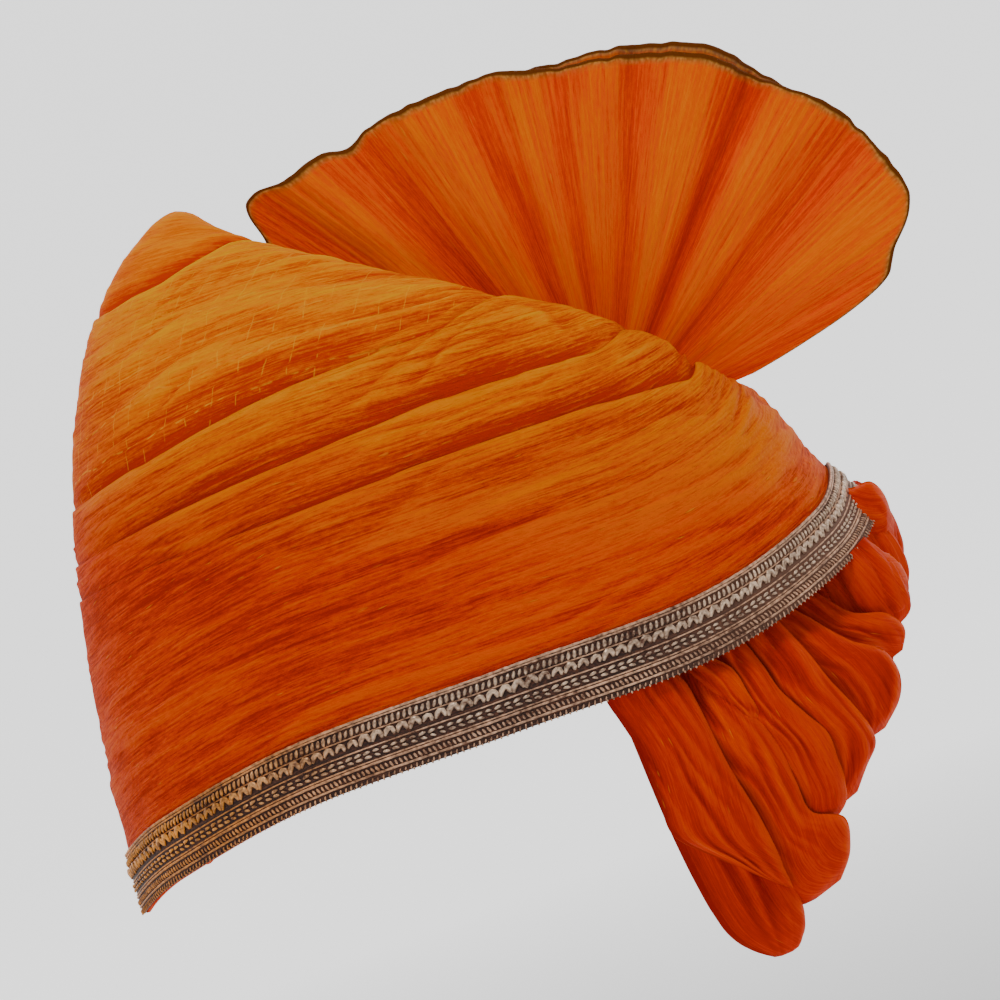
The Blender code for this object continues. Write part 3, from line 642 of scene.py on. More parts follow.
    def last_turn(self, index, side):
        """Last turn of a wrap on one side, where the wrap below it has all but covered it."""
        turn = 0.0
        while turn < 179 and self.shown(index, side * (turn + TURN_FINE)) > END_SHOWN:
            turn += TURN_FINE
        return side * turn


def hollow_point(turn, height):
    """Point of the hollow's oval wall.  The margins take the box's half sizes to the oval's own."""
    low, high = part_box("inner_turns")
    margin = ((high[0] - low[0]) / 2 - HOLLOW_HALF_WIDTH, (high[1] - low[1]) / 2 - HOLLOW_HALF_LENGTH)
    angle = math.radians(turn)
    return np.array((((high[0] - low[0]) / 2 - margin[0]) * math.sin(angle),
                     -((high[1] - low[1]) / 2 - margin[1]) * math.cos(angle), height))


def loft_mesh(name, grid, u, v, ring, hollow=None, caps=True):
    """Closed mesh through lines of points, each line a closed loop; u runs along the lines, v round each
    loop, and the value at every point for the material is painted shading: painted shade above zero,
    painted highlight below it."""
    lines, loops = grid.shape[:2]
    first = np.arange(lines if ring else lines - 1)[:, None]
    last = (first + 1) % lines
    low = np.arange(loops)[None, :]
    high = (low + 1) % loops
    faces = np.stack(np.broadcast_arrays(first * loops + low, last * loops + low,
                                         last * loops + high, first * loops + high), -1).reshape(-1, 4)
    corner_u = np.stack(np.broadcast_arrays(u[first], u[first + 1], u[first + 1], u[first]), -1)
    corner_u = np.broadcast_to(corner_u, (len(first), loops, 4)).reshape(-1)
    corner_v = np.stack((v[first, low], v[last, low], v[last, high], v[first, high]), -1).reshape(-1)
    polygons = faces.tolist()
    if caps and not ring:
        polygons.append(list(range(loops)))
        polygons.append(list(range(lines * loops - 1, (lines - 1) * loops - 1, -1)))
    mesh = bpy.data.meshes.new(name)
    mesh.from_pydata(grid.reshape(-1, 3).tolist(), [], polygons)
    layer = mesh.uv_layers.new(name="cloth")
    flat = np.zeros(len(mesh.loops) * 2)
    flat[0:2 * len(corner_u):2] = corner_u
    flat[1:2 * len(corner_v):2] = corner_v
    layer.data.foreach_set("uv", flat)
    if hollow is not None:
        values = mesh.attributes.new("hollow", "FLOAT", "POINT")
        values.data.foreach_set("value", np.ascontiguousarray(hollow, dtype=np.float32).reshape(-1))
    mesh.shade_smooth()
    return mesh


def add_piece(name, mesh, material=None):
    obj = bpy.data.objects.new(name, mesh)
    bpy.context.scene.collection.objects.link(obj)
    if material:
        obj.data.materials.append(material)
    return obj


def seat(piece, slot, *nodes):
    """The piece rides on the turban and stands for its CAD nodes; slot is not used."""
    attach(piece, BODY)
    if nodes:
        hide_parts(*nodes)


def new_group(name, inputs, outputs):
    group = bpy.data.node_groups.new(name, "ShaderNodeTree")
    for label, kind, default in inputs:
        socket = group.interface.new_socket(label, in_out="INPUT", socket_type=kind)
        if default is not None:
            socket.default_value = default
    for label, kind in outputs:
        group.interface.new_socket(label, in_out="OUTPUT", socket_type=kind)
    return group


class Net:
    """Short calls for building a node tree."""

    def __init__(self, tree):
        self.tree = tree

    def add(self, kind, inputs=(), **settings):
        node = self.tree.nodes.new(kind)
        for key, value in settings.items():
            setattr(node, key, value)
        for key, value in dict(inputs).items():
            if isinstance(value, bpy.types.NodeSocket):
                self.tree.links.new(value, node.inputs[key])
            else:
                node.inputs[key].default_value = value
        return node

    def math(self, operation, first, last=0.0, clamp=False):
        node = self.add("ShaderNodeMath", {0: first, 1: last}, operation=operation, use_clamp=clamp)
        return node.outputs[0]

    def noise(self, vector, scale, detail=2.0, roughness=0.5):
        stretched = self.add("ShaderNodeMapping", {"Vector": vector, "Scale": scale}).outputs[0]
        return self.add("ShaderNodeTexNoise", {"Vector": stretched, "Scale": 1.0, "Detail": detail,
                                               "Roughness": roughness}).outputs["Fac"]

    def mix(self, factor, first, last):
        node = self.add("ShaderNodeMix", {0: factor, 6: first, 7: last}, data_type="RGBA")
        return node.outputs[2]

    def span(self, value, low, high):
        """A value's share of the way from low to high."""
        return self.add("ShaderNodeMapRange", {"Value": value, "From Min": low, "From Max": high}).outputs[0]


def streak_group():
    """Streaks of crinkled cloth along u, with slubs and a fine weave: the tone takes in the painted shading,
    0 where shade is painted in hollows, 1 where highlight is painted on crests.
    """
    name = "cloth_streaks"
    if name in bpy.data.node_groups:
        return bpy.data.node_groups[name]
    group = new_group(name, (
        ("Vector", "NodeSocketVector", None), ("Hollow", "NodeSocketFloat", 0.0),
        ("Broad", "NodeSocketFloat", 0.5), ("Fine", "NodeSocketFloat", 0.5),
        ("Slubs", "NodeSocketFloat", 1.0),
    ), (("Tone", "NodeSocketFloat"), ("Slub", "NodeSocketFloat"), ("Height", "NodeSocketFloat")))
    net = Net(group)
    enter = net.add("NodeGroupInput").outputs
    place = enter["Vector"]
    broad = net.noise(place, (9, 130, 1), 2.0)
    middle = net.noise(place, (24, 430, 1), 3.0, 0.65)
    fine = net.noise(place, (70, 1500, 1), 3.0, 0.65)
    crinkle = net.noise(place, (420, 1100, 1), 2.0)
    patches = net.noise(place, (22, 34, 1), 2.0)
    grain = net.noise(place, (1900, 2300, 1), 1.0)
    tone = net.math("MULTIPLY", net.math("SUBTRACT", broad, 0.5), enter["Broad"])
    for part, share in ((middle, 1.35), (fine, 1.7), (crinkle, 0.6), (grain, 0.25)):
        step = net.math("MULTIPLY", net.math("SUBTRACT", part, 0.5), share)
        tone = net.math("ADD", tone, net.math("MULTIPLY", step, enter["Fine"]))
    tone = net.math("ADD", tone, net.math("MULTIPLY", net.math("SUBTRACT", patches, 0.5), 0.25))
    # Painted shading: the tone drops where shade is painted and rises where highlight is painted.
    tone = net.math("ADD", net.math("SUBTRACT", 0.5, enter["Hollow"]), tone, clamp=True)
    specks = net.span(net.noise(place, (170, 900, 1), 0.0), 0.74, 0.82)
    areas = net.span(net.noise(place, (30, 60, 1), 1.0), 0.48, 0.62)
    slub = net.math("MULTIPLY", net.math("MULTIPLY", specks, areas), enter["Slubs"], clamp=True)
    height = net.math("MULTIPLY", middle, 0.9)
    for part, share in ((fine, 0.70), (crinkle, 0.40), (grain, 0.10), (slub, 0.35)):
        height = net.math("ADD", height, net.math("MULTIPLY", part, share))
    net.add("NodeGroupOutput", {"Tone": tone, "Slub": slub, "Height": height})
    return group


def thread_group():
    """Twisted metallic thread: painted glints whose brightness flickers along it, and a bump across its
    twist.
    """
    name = "thread_glints"
    if name in bpy.data.node_groups:
        return bpy.data.node_groups[name]
    group = new_group(name, (("Vector", "NodeSocketVector", None), ("Gold at", "NodeSocketFloat", -0.06)),
                      (("Glint", "NodeSocketFloat"), ("Gold", "NodeSocketFloat"),
                       ("Height", "NodeSocketFloat")))
    net = Net(group)
    enter = net.add("NodeGroupInput").outputs
    flicker = net.noise(enter["Vector"], (700, 700, 900), 2.0)
    # Slow noise: it varies the painted glints and wobbles the border between gold and silver.
    glint_and_tint_noise = net.noise(enter["Vector"], (60, 60, 90), 2.0)
    glint = net.math("ADD", net.math("MULTIPLY", flicker, 0.9), net.math("MULTIPLY", glint_and_tint_noise, 0.5))
    along = net.add("ShaderNodeSeparateXYZ", {0: enter["Vector"]}).outputs["Y"]
    shift = net.math("ADD", along, net.math("MULTIPLY", net.math("SUBTRACT", glint_and_tint_noise, 0.5), 0.05))
    gold = net.span(net.math("SUBTRACT", enter["Gold at"], shift), -0.035, 0.03)
    twist = net.noise(enter["Vector"], (1500, 1500, 1900), 1.0)
    net.add("NodeGroupOutput", {"Glint": net.span(glint, 0.45, 0.88), "Gold": gold, "Height": twist})
    return group


def blank_material(name, roughness, metallic=0.0):
    material = bpy.data.materials.new(name)
    material.use_nodes = True
    shader = material.node_tree.nodes["Principled BSDF"]
    shader.inputs["Roughness"].default_value = roughness
    shader.inputs["Metallic"].default_value = metallic
    return material, shader, Net(material.node_tree)


def tones(sizes, kind):
    return [tuple(getattr(sizes, f"{kind}_{tone}")) + (1,) for tone in ("light", "mid", "deep")]


def cloth_material(name, low_tones, high_tones=None, broad=0.8, fine=0.8, slubs=1.0, relief=0.00035,
                   sheen=0.15, roughness=0.62, checks=0.0, hem=None):
    """Crinkled cloth in three tones, lit and shaded copies of one orange, read from the streaks and from the
    painted shading: painted shade deep in the folds, painted highlight on the crests.  Cloth with high
    tones passes into them towards the peak, as painted light from above."""
    material, shader, net = blank_material(name, roughness)
    place = net.add("ShaderNodeUVMap", uv_map="cloth").outputs["UV"]
    hollow = net.add("ShaderNodeAttribute", attribute_name="hollow").outputs["Fac"]
    streaks = net.add("ShaderNodeGroup", node_tree=streak_group())
    net.tree.links.new(place, streaks.inputs["Vector"])
    net.tree.links.new(hollow, streaks.inputs["Hollow"])
    for label, value in (("Broad", broad), ("Fine", fine), ("Slubs", slubs)):
        streaks.inputs[label].default_value = value
    tone = streaks.outputs["Tone"]
    colour = None
    # Each set runs from its deep tone, painted shade, through mid to its light tone, painted highlight; the
    # high set takes over towards the peak as painted light from above.
    for light, mid, deep in (low_tones, high_tones or ()) if high_tones else (low_tones,):
        low = net.mix(net.span(tone, 0.0, 0.5), deep, mid)
        whole = net.mix(net.span(tone, 0.45, 1.0), low, light)
        colour = whole if colour is None else net.mix(painted_toplight_mask(net), colour, whole)
    colour = net.mix(net.math("MULTIPLY", streaks.outputs["Slub"], 0.45), colour, (1.0, 0.36, 0.03, 1))
    if checks:
        colour = net.mix(net.math("MULTIPLY", check_mask(net, place), checks), colour, (1.0, 0.48, 0.03, 1))
    if hem:
        border = net.add("ShaderNodeAttribute", attribute_name="border").outputs["Fac"]
        threads = net.span(net.noise(place, (500, 900, 1), 1.0), 0.38, 0.66)
        pale = net.mix(threads, (*hem, 1), (0.62, 0.27, 0.06, 1))
        colour = net.mix(net.math("MULTIPLY", border, 0.85, clamp=True), colour, pale)
        colour = net.mix(net.span(border, 1.05, 1.30), colour, (0.16, 0.040, 0.006, 1))
    net.tree.links.new(colour, shader.inputs["Base Color"])
    rough = net.span(tone, 1.4, -0.2)
    net.tree.links.new(net.math("ADD", net.math("MULTIPLY", rough, 0.25), roughness - 0.12),
                       shader.inputs["Roughness"])
    bump = net.add("ShaderNodeBump", {"Height": streaks.outputs["Height"], "Strength": 1.0,
                                      "Distance": relief})
    net.tree.links.new(bump.outputs["Normal"], shader.inputs["Normal"])
    shader.inputs["Sheen Weight"].default_value = sheen
    shader.inputs["Sheen Roughness"].default_value = 0.45
    shader.inputs["Sheen Tint"].default_value = (1.0, 0.30, 0.01, 1)
    shader.inputs["Specular IOR Level"].default_value = 0.05
    shader.inputs["Specular Tint"].default_value = (1.0, 0.38, 0.03, 1)
    return material


def painted_toplight_mask(net):
    """Painted light from above: from 0 near the rim to 1 near the peak, with a soft uneven border."""
    place = net.add("ShaderNodeTexCoord").outputs["Object"]
    rise = net.add("ShaderNodeVectorMath", {0: place, 1: (0, 0.25, 0.94)}, operation="DOT_PRODUCT")
    uneven = net.math("MULTIPLY", net.math("SUBTRACT", net.noise(place, (25, 25, 60), 2.0), 0.5), 0.035)
    return net.span(net.math("ADD", rise.outputs["Value"], uneven), 0.050, 0.140)


def check_mask(net, place):
    """Thin lighter threads that cross the cloth every 9 mm, broken by a soft mask."""
    axes = net.add("ShaderNodeSeparateXYZ", {0: place}).outputs
    drift = net.math("MULTIPLY", net.noise(place, (60, 60, 1), 1.0), 0.006)
    mask = None
    for axis, pitch in (("X", 0.0092), ("Y", 0.0115)):
        cycle = net.math("FRACT", net.math("DIVIDE", net.math("ADD", axes[axis], drift), pitch))
        line = net.span(net.math("ABSOLUTE", net.math("SUBTRACT", cycle, 0.5)), 0.035, 0.012)
        mask = line if mask is None else net.math("MAXIMUM", mask, line)
    broken = net.span(net.noise(place, (240, 240, 1), 1.0), 0.46, 0.58)
    return net.math("MULTIPLY", mask, broken, clamp=True)


def thread_material(name, silver, gold, bright=1.0, metallic=0.35, roughness=0.38):
    """Metallic thread that turns from gold at the brow to pale silver at the side and nape."""
    material, shader, net = blank_material(name, roughness, metallic)
    place = net.add("ShaderNodeTexCoord").outputs["Object"]
    glints = net.add("ShaderNodeGroup", {"Vector": place}, node_tree=thread_group())
    tint = net.mix(glints.outputs["Gold"], (*silver, 1), (*gold, 1))
    # Painted glints: the base colour runs from dark brown up to the thread's tint where a glint is painted.
    dim = net.mix(net.math("MULTIPLY", glints.outputs["Glint"], bright), (0.13, 0.045, 0.022, 1), tint)
    net.tree.links.new(dim, shader.inputs["Base Color"])
    bump = net.add("ShaderNodeBump", {"Height": glints.outputs["Height"], "Strength": 0.8,
                                      "Distance": 0.0002})
    net.tree.links.new(bump.outputs["Normal"], shader.inputs["Normal"])
    return material


def net_material(name, ground):
    """Dark woven ground of the lace."""
    material, shader, net = blank_material(name, 0.7)
    place = net.add("ShaderNodeUVMap", uv_map="cloth").outputs["UV"]
    weave = net.noise(place, (900, 1500, 1), 2.0)
    rows = net.noise(place, (60, 2400, 1), 1.0)
    both = net.math("ADD", net.math("MULTIPLY", weave, 0.7), net.math("MULTIPLY", rows, 0.5))
    mask = net.span(both, 0.55, 0.9)
    colour = net.mix(mask, (*ground, 1), (0.20, 0.062, 0.026, 1))
    place = net.add("ShaderNodeTexCoord").outputs["Object"]
    along = net.add("ShaderNodeSeparateXYZ", {0: place}).outputs["Y"]
    colour = net.mix(net.math("MULTIPLY", net.span(along, 0.035, 0.095), 0.40), colour, (0.36, 0.16, 0.09, 1))
    net.tree.links.new(colour, shader.inputs["Base Color"])
    bump = net.add("ShaderNodeBump", {"Height": weave, "Strength": 0.8, "Distance": 0.0003})
    net.tree.links.new(bump.outputs["Normal"], shader.inputs["Normal"])
    return material


def painted_shading_of(detail, scale, fade):
    """Painted shading for the material: painted shade above zero in hollows, painted highlight below it on
    crests.
    """
    return np.clip(-detail / scale * 0.5, -0.5, 0.5) + fade


def make_wrap(wall, index, material):
    """One wrap of cloth: its outer face in fine rows, a rounded edge and a coarser inner face."""
    row = dict(zip(WRAP_COLUMNS, WRAPS[index]))
    sizes = wall.sizes
    if index:
        first, last = wall.last_turn(index, -1), wall.last_turn(index, 1)
        turns = np.linspace(first, last, max(24, int((last - first) / TURN_FINE)))
    else:
        turns = np.linspace(-180, 180, int(360 / TURN_FINE), endpoint=False)
    ring = index == 0
    half = sizes.cloth_wall / 2
    all_runs, all_outs, all_painted_shading = [], [], []
    for turn in turns:
        edge = wall.edge(index, turn)
        cover = wall.edge(index - 1, turn) if index else 0
        below = wall.edge(index - 2, turn) if index > 1 else 0
        foot = max(cover - min(TUCK, (cover - below) * 0.35), 0) if index else 0
        outer = foot + (edge - foot) * np.linspace(0, 1, row["rows"]) ** 0.95
        inner = foot + (edge - foot) * np.linspace(1, 0, INNER_ROWS)
        out = wall.out(index, turn, outer)
        plain = wall.out(index, turn, inner)
        curl = wall.thickness(index, turn, edge) / 2 * (1 - smooth((edge - outer) / (2.2 * half)))
        out = out - curl * 0.45
        share = np.clip((outer - cover) / max(edge - cover, END_SHOWN), 0, 1)
        detail = wall.wrinkles(index, turn, share) + wall.fold_height(index, turn, share) - 0.0003
        stands = wall.edge_stands(index - 1, turn) if index else 0
        # Painted shading: painted shade in the hollows of the folds and just above the edge of the wrap
        # below, darker towards a band's lower part, a painted highlight along a free upper edge, and a little
        # painted shade on the inner face.
        shade = painted_shading_of(detail, 0.0016, 0)
        shade += 0.75 * (0.08 + 0.92 * stands) * np.exp(-np.maximum(outer - cover, 0) / 0.0042) * bool(index)
        shade += 0.30 * stands * (0.45 - share)
        shade -= 0.45 * wall.edge_stands(index, turn) * np.exp(-((edge - outer) / 0.0034) ** 2)
        all_runs.append(np.concatenate((outer, (edge + half * 0.8,), inner)))
        thick = wall.thickness(index, turn, inner)
        all_outs.append(np.concatenate((out, (out[-1] - thick[0] / 2,), plain - thick)))
        all_painted_shading.append(np.concatenate((shade, (shade[-1],), np.full(INNER_ROWS, 0.15))))
    runs, outs = np.array(all_runs), np.array(all_outs)
    grid = wall.off(turns, runs, outs)
    u = np.radians(np.append(turns, turns[0] + 360 if ring else turns[-1])) * (wall.length + wall.width) / 4
    mesh = loft_mesh(row["name"], grid, u, runs, ring, np.array(all_painted_shading))
    piece = add_piece(row["name"], mesh, material)
    seat(piece, WRAP_SLOTS[index], WRAP_NODES[index])
    return piece


def lace_line(wall, share, out, lines=720):
    """Points round the band at a share of its width, and the ways out of the wall there."""
    turns = np.linspace(-180, 180, lines, endpoint=False)
    runs = np.full((lines, 1), share * wall.sizes.lace_width)
    points = wall.off(turns, np.maximum(runs, 0), np.full((lines, 1), out))[:, 0]
    ways = points - wall.off(turns, np.maximum(runs, 0), np.full((lines, 1), out - 0.001))[:, 0]
    if share < 0:
        points[:, 2] += share * wall.sizes.lace_width
    return points, ways / np.linalg.norm(ways, axis=1, keepdims=True)


def ring_tube(points, ways, radius, sides, twist, seed):
    """Closed tube round the band, swelling and thinning a little like twisted thread."""
    forward = np.roll(points, -1, axis=0) - np.roll(points, 1, axis=0)
    forward /= np.linalg.norm(forward, axis=1, keepdims=True)
    side = np.cross(forward, ways)
    spots = np.arange(len(points)) / len(points)
    swell = 1 + 0.16 * np.sin(math.tau * spots * twist) + 0.10 * ripple(spots, spots * 0, 90, 2, seed)
    angles = math.tau * np.arange(sides) / sides
    ring = (side[:, None] * np.cos(angles)[None, :, None]
            + ways[:, None] * np.sin(angles)[None, :, None] * 0.8)
    return points[:, None] + ring * (radius * swell)[:, None, None]


def thread_shape(name, points, radius, flat=0.6, sides=5):
    """A short thread through points in its own plane, x along the band and y up it, tapered at its ends."""
    points = [Vector(point) for point in points]
    shape = bmesh.new()
    loops = []
    for place, point in enumerate(points):
        before, after = points[max(place - 1, 0)], points[min(place + 1, len(points) - 1)]
        way = (after - before).normalized()
        side = way.cross(Vector((0, 0, 1)))
        end = place in (0, len(points) - 1)
        size = radius * (0.45 if end else 1)
        loops.append([shape.verts.new(point + side * size * math.cos(angle)
                                      + Vector((0, 0, size * flat * math.sin(angle))))
                      for angle in (math.tau * step / sides for step in range(sides))])
    for first, last in zip(loops, loops[1:]):
        for low in range(sides):
            high = (low + 1) % sides
            shape.faces.new((first[low], last[low], last[high], first[high]))
    shape.faces.new(loops[0])
    shape.faces.new(loops[-1])
    bmesh.ops.recalc_face_normals(shape, faces=shape.faces)
    mesh = bpy.data.meshes.new(name)
    shape.to_mesh(mesh)
    shape.free()
    mesh.shade_smooth()
    return add_piece(name, mesh)


def strung_tree():
    """Geometry nodes: copies of a thread shape at even steps along a line on the band."""
    name = "strung_threads"
    if name in bpy.data.node_groups:
        return bpy.data.node_groups[name]
    tree = bpy.data.node_groups.new(name, "GeometryNodeTree")
    for label, kind in (("Geometry", "NodeSocketGeometry"), ("Thread", "NodeSocketObject"),
                        ("Spacing", "NodeSocketFloat"), ("Tilt", "NodeSocketFloat"),
                        ("Uneven", "NodeSocketFloat"),
                        ("Seed", "NodeSocketInt"), ("Material", "NodeSocketMaterial")):
        tree.interface.new_socket(label, in_out="INPUT", socket_type=kind)
    tree.interface.new_socket("Geometry", in_out="OUTPUT", socket_type="NodeSocketGeometry")
    net = Net(tree)
    enter = net.add("NodeGroupInput").outputs
    line = net.add("GeometryNodeMeshToCurve", {"Mesh": enter["Geometry"]}).outputs[0]
    even = net.add("GeometryNodeResampleCurve", {"Curve": line, "Length": enter["Spacing"]}, mode="LENGTH")
    way = net.add("GeometryNodeInputNamedAttribute", {"Name": "out_way"}, data_type="FLOAT_VECTOR").outputs[0]
    facing = net.add("FunctionNodeAlignRotationToVector", {"Vector": way}, axis="Z").outputs[0]
    tangent = net.add("GeometryNodeInputTangent").outputs[0]
    along = net.add("FunctionNodeAlignRotationToVector", {"Rotation": facing, "Vector": tangent},
                    axis="X", pivot_axis="Z").outputs[0]
    wobble = net.add("FunctionNodeRandomValue", {"Seed": enter["Seed"]}, data_type="FLOAT")
    wobble.inputs[2].default_value = -1.0
    wobble.inputs[3].default_value = 1.0
    uneven = net.math("MULTIPLY", wobble.outputs[1], enter["Uneven"])
    angle = net.math("ADD", uneven, enter["Tilt"])
    tilt = net.add("FunctionNodeAxisAngleToRotation", {"Axis": (0, 0, 1), "Angle": angle}).outputs[0]
    turned = net.add("FunctionNodeRotateRotation", {"Rotation": along, "Rotate By": tilt},
                     rotation_space="LOCAL")
    size = net.add("FunctionNodeRandomValue", {"Seed": enter["Seed"]}, data_type="FLOAT")
    size.inputs[2].default_value = 0.86
    size.inputs[3].default_value = 1.12
    thread = net.add("GeometryNodeObjectInfo", {"Object": enter["Thread"]}).outputs["Geometry"]
    copies = net.add("GeometryNodeInstanceOnPoints", {
        "Points": even.outputs[0], "Instance": thread, "Rotation": turned.outputs[0],
        "Scale": size.outputs[1]})
    real = net.add("GeometryNodeRealizeInstances", {"Geometry": copies.outputs[0]})
    painted = net.add("GeometryNodeSetMaterial", {"Geometry": real.outputs[0], "Material": enter["Material"]})
    net.add("NodeGroupOutput", {"Geometry": painted.outputs[0]})
    return tree


def string_along(name, points, ways, thread, spacing, tilt, uneven, seed, material):
    """A plain mesh of threads strung along a closed line."""
    mesh = bpy.data.meshes.new(name)
    count = len(points)
    mesh.from_pydata(points.tolist(), [(step, (step + 1) % count) for step in range(count)], [])
    values = mesh.attributes.new("out_way", "FLOAT_VECTOR", "POINT")
    values.data.foreach_set("vector", np.ascontiguousarray(ways, dtype=np.float32).reshape(-1))
    line = add_piece(name + "_line", mesh)
    tree = strung_tree()
    modifier = line.modifiers.new("strung", "NODES")
    modifier.node_group = tree
    chosen = {"Thread": thread, "Spacing": spacing, "Tilt": math.radians(tilt), "Uneven": uneven,
              "Seed": seed, "Material": material}
    for item in tree.interface.items_tree:
        if item.in_out == "INPUT" and item.name in chosen:
            modifier[item.identifier] = chosen[item.name]
    bpy.context.view_layer.update()
    shaped = line.evaluated_get(bpy.context.evaluated_depsgraph_get())
    result = bpy.data.meshes.new_from_object(shaped)
    line.modifiers.clear()
    bpy.data.objects.remove(line, do_unlink=True)
    return result


def join_meshes(name, meshes):
    """One mesh from several, each keeping its shape and its material slots."""
    joined = bmesh.new()
    materials = []
    for mesh in meshes:
        start = len(joined.faces)
        joined.from_mesh(mesh)
        joined.faces.ensure_lookup_table()
        slots = []
        for material in mesh.materials:
            if material not in materials:
                materials.append(material)
            slots.append(materials.index(material))
        for face in joined.faces[start:]:
            face.material_index = slots[min(face.material_index, len(slots) - 1)] if slots else 0
    result = bpy.data.meshes.new(name)
    joined.to_mesh(result)
    joined.free()
    for material in materials:
        result.materials.append(material)
    result.shade_smooth()
    return result


def fan_point(sizes, centre, angles, reaches, set_back, cords):
    """Points of a fan leaf at angles and reaches, and their painted shading."""
    pleat = through(FAN_PLEATS, angles)
    share = reaches / sizes.fan_reach
    depth = pleat * sizes.fan_pleat * share ** 1.5
    drift = 2.6 * ripple(angles / 360, share * 0.4, 70, 3, 73) + 2.0 * np.sin(angles * 0.37)
    wave = cords * np.sin(math.tau * angles / 1.25 + drift) * smooth(share * 1.6 - 0.5)
    wave = wave * (0.4 + 0.6 * smooth(0.5 + ripple(angles / 360, share, 50, 2, 74)))
    soft = ripple(angles / 360, share, 260, 5, 71) * 0.0004 + ripple(angles / 360, share, 90, 6, 72) * 0.0009
    soft *= smooth(share * 1.5)
    way = np.radians(angles)
    points = np.stack((centre[0] - set_back - depth + wave + soft, centre[1] + reaches * np.cos(way),
                       centre[2] + reaches * np.sin(way)), -1)
    # Painted shading: painted shade deep in the pleats and towards the root, painted highlight on the crests
    # of the cords.
    hollow = np.clip((pleat - 0.35) * 0.42, -0.3, 0.55) * (1.15 - 0.55 * share)
    hollow = hollow - wave / max(cords, 1e-9) * 0.10
    return points, hollow + 0.26 * (1 - smooth(share * 1.25)) - 0.10


def make_fan_leaf(sizes, name, node, slot, centre, first, last, set_back, beyond, material):
    """One leaf of the fan, closed with a thin wall, its pleats gathered at the root."""
    angles = np.linspace(first, last, 620)
    edge = through(FAN_EDGE, angles) + (through(beyond, angles) if beyond else 0)
    edge = edge * sizes.fan_reach + 0.0004 * ripple(angles / 360, angles * 0, 230, 2, 75)
    rows, back_rows = 60, 30
    root = 0.009
    share = np.linspace(0, 1, rows) ** 0.9
    reaches = root + (edge[:, None] - root) * share[None, :]
    front, hollow = fan_point(sizes, centre, np.repeat(angles[:, None], rows, 1), reaches, set_back, 0.00012)
    back_reaches = root + (edge[:, None] - root) * np.linspace(1, 0, back_rows)[None, :]
    back, _ = fan_point(sizes, centre, np.repeat(angles[:, None], back_rows, 1), back_reaches,
                        set_back + 0.0009, 0.00012)
    nose = (front[:, -1:] + back[:, :1]) / 2
    way = np.radians(angles)[:, None]
    nose = nose + np.stack((0 * way, np.cos(way), np.sin(way)), -1) * 0.0004
    grid = np.concatenate((front, nose, back), axis=1)
    radius = np.concatenate((reaches, edge[:, None], back_reaches), axis=1)
    border = smooth((radius - (edge[:, None] - 0.0032)) / 0.0014)
    patchy = 0.35 + 0.65 * smooth(0.5 + 1.2 * ripple(np.repeat(angles[:, None], radius.shape[1], 1) / 360,
                                                     radius * 0, 60, 2, 77))
    shade = np.concatenate((hollow, hollow[:, -1:], hollow[:, ::-1][:, ::2]), axis=1)
    u, v = radius, np.repeat(np.radians(angles)[:, None] * sizes.fan_reach, radius.shape[1], 1)
    mesh = loft_mesh(name, grid, np.append(angles, 0) * 0, u, False, shade)
    layer = mesh.uv_layers["cloth"]
    corners = np.zeros(len(mesh.loops), int)
    mesh.loops.foreach_get("vertex_index", corners)
    places = np.stack((u.reshape(-1)[corners], v.reshape(-1)[corners]), -1).reshape(-1)
    layer.data.foreach_set("uv", places)
    values = mesh.attributes.new("border", "FLOAT", "POINT")
    outline = smooth((radius - (edge[:, None] - 0.0007)) / 0.0006)
    border = border * patchy * (1 - outline) + 1.6 * outline
    values.data.foreach_set("value", np.ascontiguousarray(border, dtype=np.float32).reshape(-1))
    fix_normals(mesh)
    piece = add_piece(name, mesh, material)
    seat(piece, slot, node)
    return piece


def fix_normals(mesh):
    shape = bmesh.new()
    shape.from_mesh(mesh)
    bmesh.ops.recalc_face_normals(shape, faces=shape.faces)
    shape.to_mesh(mesh)
    shape.free()


def rim_out(sizes, point):
    """Level direction out of the rim's oval at a point."""
    way = np.array((point[0] / (sizes.rim_width / 2) ** 2, point[1] / (sizes.rim_length / 2) ** 2, 0))
    return way / np.linalg.norm(way)


